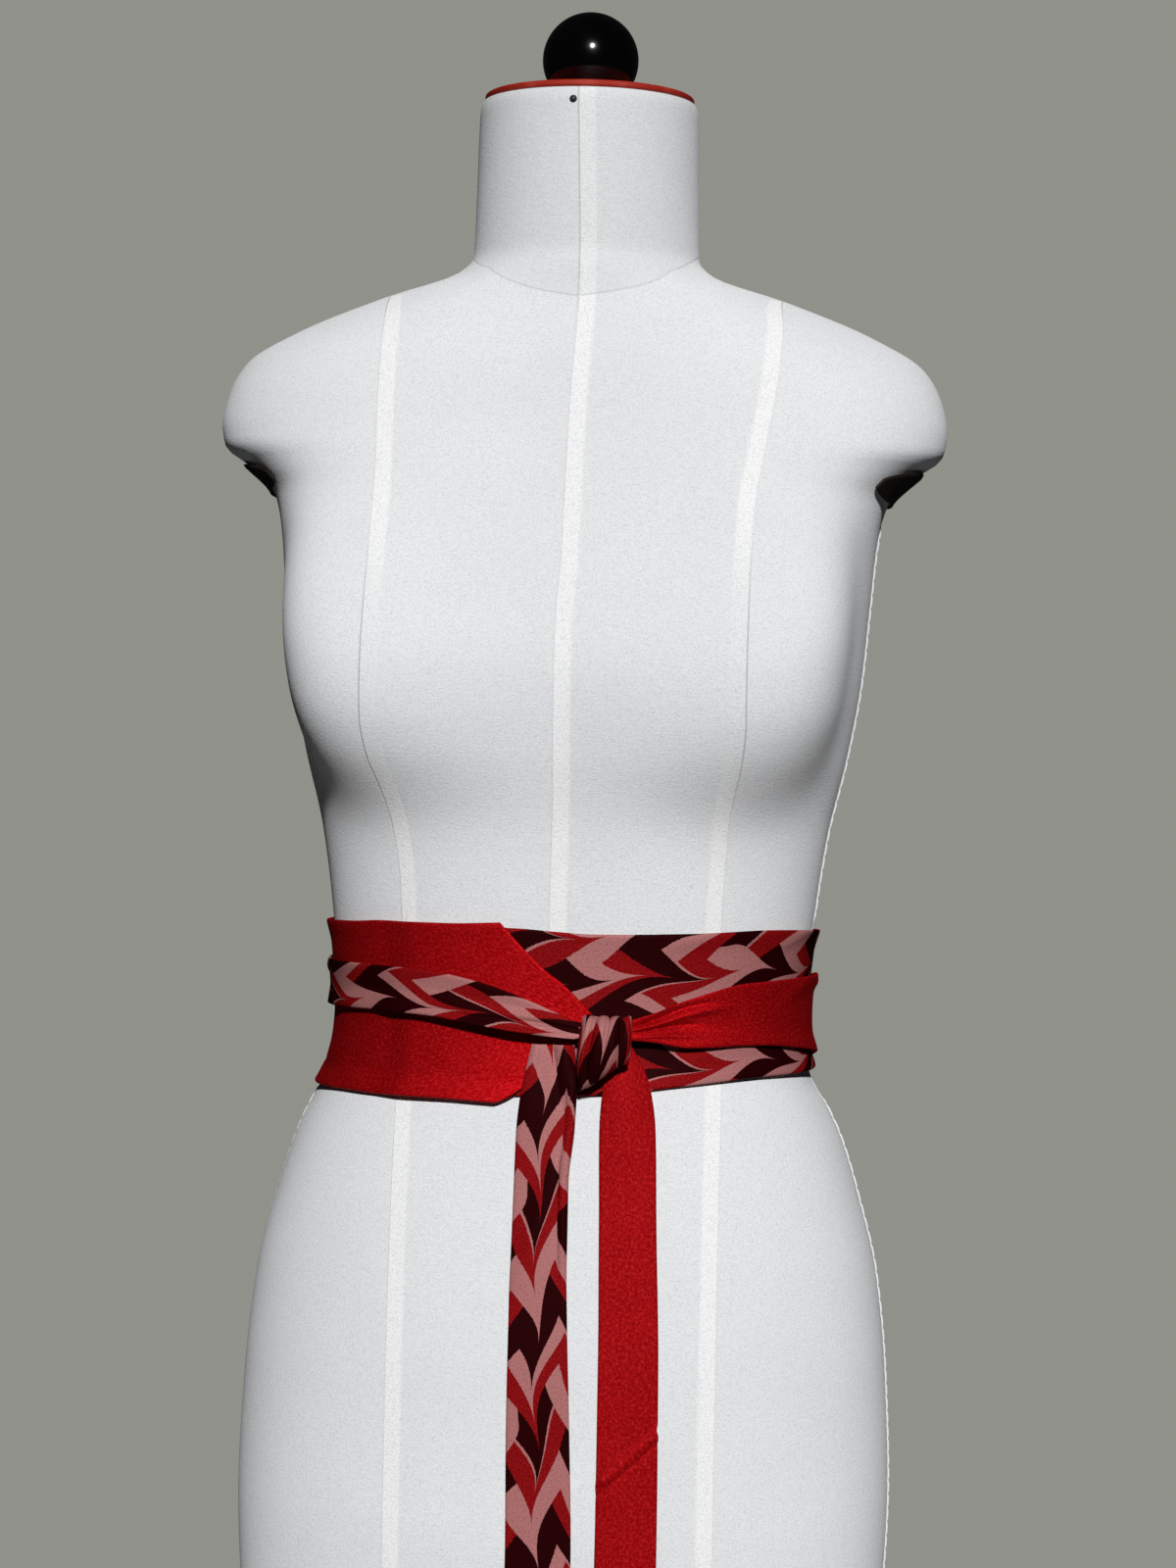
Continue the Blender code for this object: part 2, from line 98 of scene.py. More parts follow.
# Seams of the cover: height and sideways place. The tape beside each seam lies towards the middle.
CENTRE_SEAM = (
    (461, -0.5), (357, 1.8), (295, 0), (229, -0.6), (195, -2.2), (115, -2.4), (57, -3.6), (-45, -4),
    (-360, -4),
)
LEFT_SEAM = (
    (359, -97), (300, -96), (258, -94.5), (194, -95), (146, -95.5), (127, -93), (111, -87.5), (94, -83),
    (63, -79), (0, -77), (-46, -79), (-264, -79), (-360, -76),
)
RIGHT_SEAM = (
    (359, 101), (340, 103.5), (319, 102.5), (285, 98), (253, 93.5), (211, 92), (145, 92), (126, 90),
    (111, 86.5), (97, 83.5), (52, 80.5), (0, 79), (-37, 82), (-258, 83), (-360, 79),
)
BACK_SEAM = ((359, 92), (250, 78), (160, 74), (47, 60), (0, 57), (-45, 60), (-240, 72), (-360, 66))
# The seam round the foot of the neck: turn and height.
NECK_SEAM = (
    (-180, 392), (-110, 386), (-46, 373), (-22.5, 365), (-9, 359.3), (-2, 357.1), (0.5, 356.5), (3, 357.1),
    (9.5, 359), (19.5, 362.6), (41.5, 371), (92.5, 384), (140, 390), (180, 392),
)
SEAM_TOP = 361.5  # the left and right seams end here, in front and behind
TAPE_WIDTH = 9.4
# The ridge of the side seam, sewn over and over: its height, half width and stitches.
RIDGE = {
    "top": 252.0, "bottom": -352.0, "height": 1.5, "half_width": 0.8, "stitch": 7.0, "pinch": 0.35,
}
SASH_TOP, SASH_BOTTOM = 52.0, -46.0  # the ridge lies flat between these

# --- sash sizes: the part's own, but for the tails, the knot's underside and the ties' starts at the back

WALL = 1.6
LAYER = (0.9, 3.0, 5.1)
HEM = 12.0
# Stretches round the form: turn, top edge, bottom edge, lift off the form, and how far the edges flare out.
RED_PANEL = (
    (-10, 47, -42, LAYER[1], 0.2, 0.6),
    (-22, 46, -41, LAYER[1], 0.3, 0.8),
    (-31, 46, -41, LAYER[1], 0.4, 0.9),
    (-42, 46, -40.5, LAYER[0], 0.6, 0.8),
    (-55, 45, -40, LAYER[0], 1.0, 1.0),
    (-80, 44.5, -40, LAYER[0], 1.4, 1.2),
    (-110, 44, -40, LAYER[0], 1.2, 1.0),
    (-130, 36, -38, LAYER[0], 0, 1.0),
    (-146, 18, -35, LAYER[0], 0, 0.3),
    (-157, 3, -33, LAYER[0], 0, 0),
)
RED_POINT = 17.0  # degrees by which the arrow's point reaches ahead
PRINT_PANEL = (
    (-24, 45, -39, LAYER[0], 0, 0),
    (-6, 44, -38, LAYER[0], 0, 0.1),
    (6, 42, -37, LAYER[0], 0.2, 0.4),
    (28, 43, -32, LAYER[0], 0.5, 0.8),
    (54, 45, -28, LAYER[0], 1.0, 1.5),
    (91, 44, -27, LAYER[0], 1.6, 1.6),
    (108, 43, -26, LAYER[0], 1.4, 0.2),
    (118, 42, -24, LAYER[0], 1.2, 0),
    (134, 39, -15, LAYER[0], 0.5, 0),
    (148, 35, -4, LAYER[0], 0.1, 0),
    (157, 33, 4, LAYER[0], 0, 0),
)
RED_TIE = (
    (-157.1, 3.1, -33, LAYER[0], 0, 0),
    (-188, 3.1, -33, LAYER[0], 0, 0),
    (-203, 3.3, -33, LAYER[1], 0, 0),
    (-230, 12, -30, LAYER[1], 0.2, 0.2),
    (-268, 22, -19.5, LAYER[1], 1.2, 1.6),
    (-313, 19, -12.5, LAYER[1], 0.3, 1.2),
    (-331, 11, -13.5, LAYER[1] + 1.0, 0.2, 3.0),
    (-341, 3.5, -10.5, LAYER[1] + 3.6, 0, 2.5),
    (-348, -1, -9.5, LAYER[1] + 7.2, 0, 0.5),
)
PRINT_TIE = (
    (157.1, 33, 3.5, LAYER[0], 0, 0),
    (188, 33, 3.5, LAYER[0], 0, 0),
    (203, 33, 3.5, LAYER[1], 0, 0),
    (230, 30, 3, LAYER[1], 0, 0),
    (279, 25, 1, LAYER[1], 0.3, 0.6),
    (312, 24, 1.5, LAYER[1], 0.3, 1.6),
    (325, 23.5, 1, LAYER[2], 0.2, 3.2),
    (335, 22, 0, LAYER[2] + 0.3, 0.2, 5.0),
    (347, 17, -4, LAYER[2] + 1.4, 0.1, 6.0),
    (357.5, 8, -8, LAYER[2] + 3.4, 0, 4.5),
    (363, 0.5, -9.5, LAYER[2] + 4.2, 0, 1.5),
    (368.5, -3.5, -10, LAYER[2] + 4.8, 0, 0),
)
LOOP = {
    "left": 14.0,
    "right": 39.5,
    "top": 2.5,
    "left_bottom": -33.5,
    "right_bottom": -20.5,
    "top_back": 102.0,
    "bottom_back": 104.6,
    "edge": 108.5,
    "front": 117.0,
    "lean": 1.5,
}
KNOT_WIDTH = 48.0  # of the print that shows across the loop
RED_TIE_WIDTH, PRINT_TIE_WIDTH = 42.0, 25.0  # of the cloth that shows, before it is gathered at the knot
# Where each piece starts in the print's repeat: along the cloth, and across it too where it turns.
PRINT_PANEL_START = 64.0
KNOT_START = (22.0, 36.0)
PRINT_TAIL_START = (22.0, -5.0)
# The loop's pleats, one to a row: its place at the top and at the bottom and its half width, all as shares
# of the loop's width, then its height, which is negative in a trough.
KNOT_PLEATS = (
    (0.12, 0.06, 0.075, 1.9),
    (0.29, 0.14, 0.035, -2.3),
    (0.43, 0.30, 0.075, 1.1),
    (0.56, 0.45, 0.030, -1.3),
    (0.69, 0.64, 0.065, 1.0),
    (0.81, 0.79, 0.030, -1.6),
    (0.93, 0.94, 0.055, 1.5),
)
# Tails: height, left edge, right edge, the thickness that lies under them, how far their middle bows out.
PRINT_TAIL = (
    (-12, -10, 10.5, LAYER[2], 0.0),
    (-22, -12, 11.5, LAYER[2], 0.2),
    (-34, -14.5, 12, LAYER[2] - 1, 0.5),
    (-52, -16.3, 11.5, 0, 0.8),
    (-78, -16.8, 9.2, 0, 0.7),
    (-105, -17.2, 9.4, 0, 0.5),
    (-145, -17.6, 10.8, 0, 0.2),
    (-190, -17.6, 12.8, 0, 0.1),
    (-265, -16.8, 15, 0, 0.4),
    (-360, -17, 14.5, 0, 1.5),
    (-468, -18, 14, 0, 1.0),
)
RED_TAIL = (
    (-13, 29, 38, LAYER[1], 0.2),
    (-18, 28, 41, LAYER[1], 0.4),
    (-24, 26.5, 44.5, LAYER[1], 0.8),
    (-33, 25, 47.5, LAYER[1], 1.0),
    (-52, 24, 50.5, 0, 0.8),
    (-100, 25, 52.5, 0, 0.5),
    (-170, 26.3, 55.2, 0, 0.1),
    (-263, 26.5, 56, 0, 0.3),
    (-360, 26, 55.5, 0, 0.8),
    (-446, 26, 55, 0, 1.0),
)
TAIL_CLEAR = 0.6
RED_TAIL_CREASE = {"z": -211.0, "slant": 27.0}

CLOTH_STEP = 1.6  # size of a cloth mesh's faces
RIM = 1.3  # width of a wall's rounded edge

# Creases, one to a row: where it starts and where it ends, each in the stretch's own turn and share of its
# width, then its half width and its height. The height is negative in a trough.
RED_PANEL_CREASES = (
    (-30, 0.60, -98, 0.86, 6.0, 0.7),
    (-24, 0.12, -70, 0.20, 5.0, 0.9),
    (-44, 0.08, -96, 0.12, 3.5, -0.5),
    (-62, 0.30, -118, 0.24, 7.0, 0.8),
    (-84, 0.05, -104, 0.45, 3.5, 0.9),
    (-100, 0.55, -142, 0.62, 5.0, 0.7),
)
PRINT_PANEL_CREASES = (
    (20, 0.90, 66, 0.80, 4.0, 0.5),
    (58, 0.86, 104, 0.95, 3.0, 0.7),
    (24, 0.10, 60, 0.16, 4.5, 0.5),
    (104, 0.50, 148, 0.58, 5.0, 0.6),
)
RED_TIE_CREASES = (
    (-346, 0.62, -322, 0.80, 1.5, -2.4),
    (-346, 0.34, -324, 0.42, 1.3, -2.2),
    (-347, 0.84, -312, 0.96, 2.6, 1.5),
    (-346, 0.48, -314, 0.58, 2.8, 2.0),
    (-344, 0.16, -322, 0.14, 2.2, 1.3),
    (-300, 0.66, -256, 0.78, 5.0, 0.7),
    (-262, 0.12, -236, 0.30, 3.0, 0.8),
    (-276, 0.84, -250, 0.60, 2.6, 0.8),
    (-212, 0.50, -170, 0.44, 4.0, 0.6),
)
PRINT_TIE_CREASES = (
    (368, 0.02, 300, 0.02, 4.0, 4.5),
    (364, 0.56, 318, 0.44, 1.6, -1.9),
    (362, 0.22, 330, 0.14, 2.2, 1.3),
    (364, 0.76, 322, 0.70, 3.0, 1.4),
    (364, 0.36, 336, 0.30, 1.1, -1.2),
    (306, 0.30, 268, 0.52, 3.0, 0.9),
    (284, 0.10, 262, 0.34, 2.2, 1.0),
    (280, 0.92, 262, 0.70, 2.4, 1.0),
    (250, 0.46, 206, 0.54, 4.0, 0.6),
)


def columns(table):
    """The columns of a table of numbers, each as an array."""
    return np.array(table, float).T


def smooth(at, knots, values):
    """A curve through the values that never overshoots them, read at one place or many."""
    knots, values = np.asarray(knots, float), np.asarray(values, float)
    if knots[0] > knots[-1]:
        knots, values = knots[::-1], values[::-1]
    step = np.diff(knots)
    rise = np.diff(values) / step
    slope = np.zeros(len(knots))
    turning = rise[:-1] * rise[1:] > 0
    total = np.where(turning, rise[:-1] + rise[1:], 1)
    slope[1:-1] = np.where(turning, 2 * rise[:-1] * rise[1:] / total, 0)
    slope[0], slope[-1] = rise[0], rise[-1]
    at = np.clip(at, knots[0], knots[-1])
    i = np.clip(np.searchsorted(knots, at) - 1, 0, len(step) - 1)
    t = (at - knots[i]) / step[i]
    ends = values[i] * (1 + 2 * t) * (1 - t) ** 2 + values[i + 1] * (3 - 2 * t) * t**2
    return ends + step[i] * (slope[i] * t * (1 - t) ** 2 - slope[i + 1] * t**2 * (1 - t))


def hump(away, half_width):
    """1 in the middle of a smooth hump, falling off over its half width."""
    return np.exp(-((away / half_width) ** 2))


def ease(t):
    """0 to 1, slow at both ends, as t goes from 0 to 1."""
    t = np.clip(t, 0, 1)
    return t * t * (3 - 2 * t)


def torso_point(turn, z):
    """The form's surface at a turn and a height, which may be arrays."""
    turn, z = np.broadcast_arrays(np.asarray(turn, float), np.asarray(z, float))
    heights, *sizes = columns(TORSO)
    wide, front, back, square = (smooth(z, heights, size) for size in sizes)
    turn = (turn + 180) % 360 - 180
    above = hump(z - BUST["z"], BUST["above"])
    below = np.exp(-(np.abs((z - BUST["z"]) / BUST["below"]) ** BUST["fall"]))
    across = hump(np.abs(turn) - BUST["turn"], BUST["across"])
    swell = np.where(z > BUST["z"], above, below) * across
    s, c = np.sin(np.radians(turn)), np.cos(np.radians(turn))
    x = wide * np.sign(s) * np.abs(s) ** (2 / square)
    y = -np.where(c > 0, front, back) * np.sign(c) * np.abs(c) ** (2 / square)
    reach = 1 + BUST["swell"] * swell / np.hypot(x, y)
    return np.stack([x * reach, y * reach, z], axis=-1)


def unit(vectors):
    """The vectors at length 1."""
    return vectors / np.linalg.norm(vectors, axis=-1, keepdims=True)


def torso_normal(turn, z):
    """The direction straight out of the form at a turn and a height."""
    around = torso_point(turn + 1.0, z) - torso_point(turn - 1.0, z)
    upward = torso_point(turn, z + 2.0) - torso_point(turn, z - 2.0)
    return unit(np.cross(around, upward))


def torso_front(x, z):
    """How far the form's front reaches before the axis at a sideways place and a height."""
    turns = np.linspace(-50, 50, 201)
    points = torso_point(turns, z)
    return float(np.interp(x, points[:, 0], -points[:, 1]))


# --- meshes


def placed(name, data):
    """A new object in the scene."""
    made = bpy.data.objects.new(name, data)
    bpy.context.scene.collection.objects.link(made)
    return made


def mesh_piece(name, points, faces, finish, above_waist=True):
    """A smooth-shaded piece from points in millimetres, which rides on the part's one body."""
    mesh = bpy.data.meshes.new(name)
    lift = np.array([0, 0, WAIST if above_waist else 0])
    mesh.from_pydata(((np.asarray(points) + lift) * MM).tolist(), [], faces)
    mesh.validate()
    mesh.shade_smooth()
    mesh.materials.append(finish)
    piece = placed(name, mesh)
    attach(piece, "root")
    return piece


def vector_attribute(piece, name, values):
    """A vector for each point of a piece's mesh."""
    made = piece.data.attributes.new(name, "FLOAT_VECTOR", "POINT")
    made.data.foreach_set("vector", np.asarray(values, np.float32).reshape(-1))


def grid_faces(rows, count):
    """Faces of a grid whose points are numbered row by row, with a count of them in each."""
    corner = np.arange(rows - 1)[:, None] * count + np.arange(count - 1)
    return np.stack([corner, corner + 1, corner + count + 1, corner + count], axis=-1).reshape(-1, 4)


def tube_faces(rings, sides):
    """Faces of a closed tube whose points are numbered ring by ring, with a face at each end."""
    faces = []
    for i in range(rings - 1):
        for j in range(sides):
            k = (j + 1) % sides
            faces.append((i * sides + j, i * sides + k, (i + 1) * sides + k, (i + 1) * sides + j))
    faces.append(tuple(range(sides))[::-1])
    faces.append(tuple((rings - 1) * sides + j for j in range(sides)))
    return faces


def edge_spaced(length, step):
    """Shares from 0 to 1 along a length, a step apart, with a few close ones at its two rounded edges."""
    rim = RIM * (1 - np.cos(np.radians([0, 35, 62, 90]))) / length
    inside = np.linspace(rim[-1], 1 - rim[-1], max(3, int(length / step)))
    return np.concatenate([rim[:-1], inside, 1 - rim[:-1][::-1]])


def running(points, axis):
    """Distance along a grid's lines from their start."""
    step = np.linalg.norm(np.diff(points, axis=axis), axis=-1)
    total = np.cumsum(step, axis=axis)
    pad = [(1, 0) if i == axis else (0, 0) for i in range(2)]
    return np.pad(total, pad)


def shell(name, inner, outward, along, across, finish, slot):
    """A closed cloth wall over a grid of inner points, with rounded edges and its own coordinates."""
    rows, count = inner.shape[:2]
    down, side = running(inner, 0), running(inner, 1)
    to_edge = np.minimum(np.minimum(down, down[-1:] - down), np.minimum(side, side[:, -1:] - side))
    half = WALL / 2 * np.sqrt(1 - (1 - np.clip(to_edge / RIM, 0, 1)) ** 2)
    middle = inner + outward * WALL / 2
    near, far = middle - half[..., None] * outward, middle + half[..., None] * outward
    points = np.concatenate([far.reshape(-1, 3), near.reshape(-1, 3)])
    # The cloth's own coordinates: along it, across it, and 1 on its back.
    cloth = np.stack([along + 0 * across, across + 0 * along, np.zeros_like(half)], axis=-1).reshape(-1, 3)
    back = cloth + (0, 0, 1)
    number = np.arange(rows * count).reshape(rows, count)
    under = number + rows * count
    on_edge = np.ones_like(number, bool)
    on_edge[1:-1, 1:-1] = False
    shared = np.arange(2 * rows * count)
    shared[under[on_edge]] = number[on_edge]
    front = grid_faces(rows, count)
    quads = shared[np.concatenate([front, front[:, ::-1] + rows * count])]
    kept, index = np.unique(quads, return_inverse=True)
    piece = mesh_piece(name, points[kept], index.reshape(quads.shape).tolist(), finish)
    vector_attribute(piece, "cloth", np.concatenate([cloth, back])[kept])
    mesh_data = bmesh.new()
    mesh_data.from_mesh(piece.data)
    bmesh.ops.recalc_face_normals(mesh_data, faces=mesh_data.faces)
    mesh_data.to_mesh(piece.data)
    mesh_data.free()
    return piece


def turned(name, profile, finish, sides=96, above_waist=True, wide=1.0, deep=1.0):
    """A closed solid of revolution from (radius, height) pairs, bottom to top, oval by wide and deep."""
    angles = np.arange(sides) * 2 * np.pi / sides
    rings = [
        np.stack([wide * r * np.cos(angles), deep * r * np.sin(angles), np.full(sides, float(z))], axis=1)
        for r, z in profile
    ]
    faces = tube_faces(len(rings), sides)
    piece = mesh_piece(name, np.concatenate(rings), faces, finish, above_waist)
    piece.data.set_sharp_from_angle(angle=math.radians(50))
    return piece


def rounded(radius, low, high, edge):
    """The profile of a disc with rounded edges, bottom to top."""
    turn = np.radians(np.linspace(-90, 0, 6))
    lower = [(radius - edge + edge * math.cos(a), low + edge + edge * math.sin(a)) for a in turn]
    upper = [(r, low + high - z) for r, z in lower[::-1]]
    return lower + upper


# --- materials


class Finish:
    """A node material, written as calls that return sockets."""

    def __init__(self, name):
        self.material = bpy.data.materials.new(name)
        self.material.use_nodes = True
        self.tree = self.material.node_tree
        self.shader = self.tree.nodes["Principled BSDF"]

    def feed(self, socket, value):
        """Links a socket or sets a plain value."""
        if isinstance(value, bpy.types.NodeSocket):
            self.tree.links.new(value, socket)
        elif value is not None:
            socket.default_value = value

    def node(self, kind, values=(), **settings):
        """A node with its settings, and values for its inputs, by name or in order."""
        made = self.tree.nodes.new(kind)
        for key, setting in settings.items():
            setattr(made, key, setting)
        for key, value in values.items() if isinstance(values, dict) else enumerate(values):
            self.feed(made.inputs[key], value)
        return made

    def place(self):
        """The place on the piece, in metres."""
        return self.node("ShaderNodeTexCoord").outputs["Object"]

    def parts(self, vector):
        """A vector's three parts."""
        return self.node("ShaderNodeSeparateXYZ", (vector,)).outputs

    def attribute(self, name):
        """A vector that the mesh carries."""
        return self.node("ShaderNodeAttribute", attribute_name=name).outputs["Vector"]

    def math(self, operation, *values):
        """One arithmetic step."""
        return self.node("ShaderNodeMath", values, operation=operation).outputs[0]

    def times(self, first, second):
        """The product of two values."""
        return self.math("MULTIPLY", first, second)

    def scaled(self, value, factor, offset):
        """A value times a factor, plus an offset."""
        return self.math("MULTIPLY_ADD", value, factor, offset)

    def greater(self, first, second):
        """The greater of two values."""
        return self.math("MAXIMUM", first, second)

    def noise(self, vector, scale, detail=2.0, roughness=0.5):
        """Smooth noise, 0 to 1."""
        values = {"Vector": vector, "Scale": scale, "Detail": detail, "Roughness": roughness}
        return self.node("ShaderNodeTexNoise", values).outputs["Fac"]

    def mapped(self, vector, scale):
        """A vector stretched by three factors."""
        return self.node("ShaderNodeMapping", {"Vector": vector, "Scale": scale}).outputs["Vector"]

    def between(self, value, low, high, to_low=0.0, to_high=1.0):
        """A value carried from one range to another, clamped and eased."""
        values = {"Value": value, "From Min": low, "From Max": high, "To Min": to_low, "To Max": to_high}
        return self.node("ShaderNodeMapRange", values, interpolation_type="SMOOTHSTEP").outputs["Result"]

    def mix(self, share, first, second):
        """A blend of two colours."""
        values = {"Factor": share, "A": rgba(first), "B": rgba(second)}
        return self.node("ShaderNodeMix", values, data_type="RGBA").outputs["Result"]

    def bump(self, height, distance, strength=1.0, under=None):
        """A normal from a height in the range 0 to 1, which stands for distance metres."""
        values = {"Height": height, "Distance": distance, "Strength": strength, "Normal": under}
        return self.node("ShaderNodeBump", values).outputs["Normal"]

    def set(self, **values):
        """Sets the shader's sockets by name."""
        for name, value in values.items():
            self.feed(self.shader.inputs[name.replace("_", " ")], rgba(value))
        return self.material


def rgba(colour):
    """A colour with its alpha, if it is a plain colour."""
    return (*colour, 1.0) if isinstance(colour, tuple) and len(colour) == 3 else colour


def weave(finish, vector, pitch):
    """The uneven threads of a fine weave, 0 to 1."""
    warp = finish.noise(finish.mapped(vector, (0.25 / pitch, 1.6 / pitch, 1.0)), 1.0, 2.0)
    weft = finish.noise(finish.mapped(vector, (1.6 / pitch, 0.25 / pitch, 1.0)), 1.0, 2.0)
    return finish.times(finish.math("ADD", warp, weft), 0.5)


# The red satin: its plain tone, its deeper patches, and the light and dark flecks of its grain.
RED, RED_DEEP = (0.41, 0.0027, 0.0050), (0.36, 0.0012, 0.0028)
RED_LIT, RED_DARK = (0.62, 0.0200, 0.0240), (0.16, 0.0004, 0.0012)


def toned(colour, shade):
    """A colour made deeper or paler by one factor."""
    return tuple(channel * shade for channel in colour)


def red_satin(name, shine, shade):
    """A matt red silk with a fine crepe grain, of that shine, its tones deeper or paler by the shade, which
    paints light or shade into this copy of the cloth.
    """
    finish = Finish(name)
    cloth = finish.attribute("cloth")
    grain = weave(finish, cloth, 0.8)
    fine = finish.noise(cloth, 0.62, 4.0, 0.9)
    patches = finish.noise(cloth, 0.05, 2.0, 0.5)
    colour = finish.mix(finish.between(patches, 0.25, 0.8), toned(RED_DEEP, shade), toned(RED, shade))
    colour = finish.mix(finish.between(fine, 0.50, 0.62, 0.0, 0.8), colour, toned(RED_LIT, shade))
    colour = finish.mix(finish.between(fine, 0.38, 0.5, 0.65, 0.0), colour, toned(RED_DARK, shade))
    normal = finish.bump(grain, 0.00022, 0.7)
    normal = finish.bump(finish.noise(cloth, 0.03, 1.0), 0.0010, 0.4, normal)
    roughness = finish.between(grain, 0.3, 0.7, 0.70, 0.56)
    return finish.set(
        Base_Color=colour, Roughness=roughness, Normal=normal, Metallic=shine, Specular_IOR_Level=0.03,
    )


# The print: rows of leaves whose tips point along the cloth, with every other row shifted along it. The bands
# follow one sequence of (colour, length), and a leaf lies over the longer leaves beside it.
BLACK, ROSE, SCARLET = (0.0190, 0.0005, 0.0010), (0.425, 0.166, 0.162), (0.225, 0.0028, 0.0042)
BANDS = (
    (BLACK, 18.0), (ROSE, 2.0), (SCARLET, 16.0), (ROSE, 22.0), (BLACK, 24.0), (ROSE, 14.0), (SCARLET, 14.0),
)
REPEAT = sum(length for _, length in BANDS)
BAND_ENDS = np.cumsum([length for _, length in BANDS]) / REPEAT
BAND_STARTS = np.concatenate([[0.0], BAND_ENDS[:-1]])
# The rows' pitch and where the first one lies, a leaf's half width and the sweep of its edge, how much both
# change along the cloth, and where that wave starts, in radians.
LEAF = {
    "pitch": 22.5, "first": 6.0, "half": 19.0, "half_change": 5.0, "sweep": 52.0, "sweep_change": 10.0,
    "lag": 3.0,
}
ROW_SHIFT = 41.5
UNEVEN = 0.25  # how much more the leaves sweep back in every other gap between rows
ROUND = 0.8  # how soon a leaf's edge leaves its tip
WANDER = {"by": 2.0, "length": 61.0}  # the rows' own slow wave


def ramp(finish, value, stops):
    """A stepped colour for each range of a value from 0 to 1."""
    made = finish.node("ShaderNodeValToRGB", (value,))
    made.color_ramp.interpolation = "CONSTANT"
    elements = made.color_ramp.elements
    elements.remove(elements[1])
    elements[0].position, elements[0].color = 0.0, rgba(stops[0][1])
    for position, colour in stops[1:]:
        elements.new(position).color = rgba(colour)
    return made.outputs["Color"]


def leaf_row(finish, ahead, row, away, longer, jag):
    """One row of leaves, at a place that far away from the row's axis.

    Gives back the place's share of the repeat and how near the leaf's tip is.
    """
    shifted = finish.scaled(finish.math("MODULO", row, 2.0), ROW_SHIFT, ahead)
    wave = finish.math("SINE", finish.scaled(shifted, 2 * math.pi / REPEAT, LEAF["lag"]))
    half = finish.scaled(wave, LEAF["half_change"], LEAF["half"])
    part = finish.math("MINIMUM", finish.math("DIVIDE", away, half), 0.9999)
    bow = finish.math("ARCCOSINE", finish.scaled(part, -2.0, 1.0))
    bow = finish.math("DIVIDE", bow, math.pi)
    sweep = finish.scaled(wave, LEAF["sweep_change"], LEAF["sweep"])
    swept = finish.times(finish.times(sweep, longer), finish.math("POWER", bow, ROUND))
    reach = finish.math("ADD", swept, jag)
    share = finish.math("FRACT", finish.math("DIVIDE", finish.math("ADD", shifted, reach), REPEAT))
    end = ramp(finish, share, [(first, (last,) * 3) for first, last in zip(BAND_STARTS, BAND_ENDS)])
    tip = finish.scaled(finish.math("SUBTRACT", end, share), REPEAT, reach)
    beyond = finish.math("GREATER_THAN", away, half)
    return share, finish.scaled(beyond, 1000.0, tip)


def print_satin():
    """A jacquard of pointed leaves in maroon-black, rose and scarlet."""
    finish = Finish("print_satin")
    cloth = finish.attribute("cloth")
    parts = finish.parts(cloth)
    jag = finish.times(finish.math("SUBTRACT", finish.noise(cloth, 1.1, 1.0), 0.5), 1.6)
    # Whole repeats and rows are added, so that no remainder is taken of a negative number.
    ahead = finish.math("ADD", parts["X"], 40 * REPEAT)
    wander = finish.math("SINE", finish.times(ahead, 2 * math.pi / WANDER["length"]))
    aside = finish.scaled(wander, WANDER["by"], parts["Y"])
    rows = finish.scaled(aside, 1 / LEAF["pitch"], 50.0 + LEAF["first"] / LEAF["pitch"])
    row = finish.math("FLOOR", rows)
    near = finish.times(finish.math("FRACT", rows), LEAF["pitch"])
    longer = finish.scaled(finish.math("MODULO", row, 2.0), -2 * UNEVEN, 1 + UNEVEN)
    far = finish.math("SUBTRACT", LEAF["pitch"], near)
    this_share, this_tip = leaf_row(finish, ahead, row, near, longer, jag)
    next_share, next_tip = leaf_row(finish, ahead, finish.math("ADD", row, 1.0), far, longer, jag)
    other = finish.math("LESS_THAN", next_tip, this_tip)
    gap = finish.math("SUBTRACT", next_share, this_share)
    share = finish.scaled(other, gap, this_share)
    tones = [(first, tone) for first, (tone, _) in zip(BAND_STARTS, BANDS)]
    colour = ramp(finish, share, tones)
    ground = ramp(finish, share, [(first, (float(tone is SCARLET),) * 3) for first, tone in tones])
    grain = weave(finish, cloth, 0.7)
    fine = finish.noise(cloth, 1.0, 4.0, 0.9)
    fleck = finish.times(finish.between(fine, 0.5, 0.62, 0.0, 0.5), ground)
    colour = finish.mix(fleck, colour, (0.42, 0.022, 0.024))
    colour = finish.mix(finish.between(fine, 0.36, 0.55, 0.40, 0.0), colour, (0.010, 0.0005, 0.0010))
    normal = finish.bump(grain, 0.0002, 0.7)
    normal = finish.bump(finish.noise(cloth, 0.05, 2.0), 0.001, 0.4, normal)
    return finish.set(
        Base_Color=colour, Roughness=0.58, Normal=normal, Metallic=0.12, Specular_IOR_Level=0.02,
    )


CALICO = (0.78, 0.79, 0.80)
CALICO_DEEP = (0.72, 0.735, 0.76)
TAPE = (0.87, 0.875, 0.862)
SEAM = (0.50, 0.50, 0.51)
# Heights in metres between which the seams come and go: over the bust, and on the neck.
BUST_FROM, BUST_TO, NECK_FROM = (1.13, 1.18), (1.22, 1.29), (1.38, 1.40)


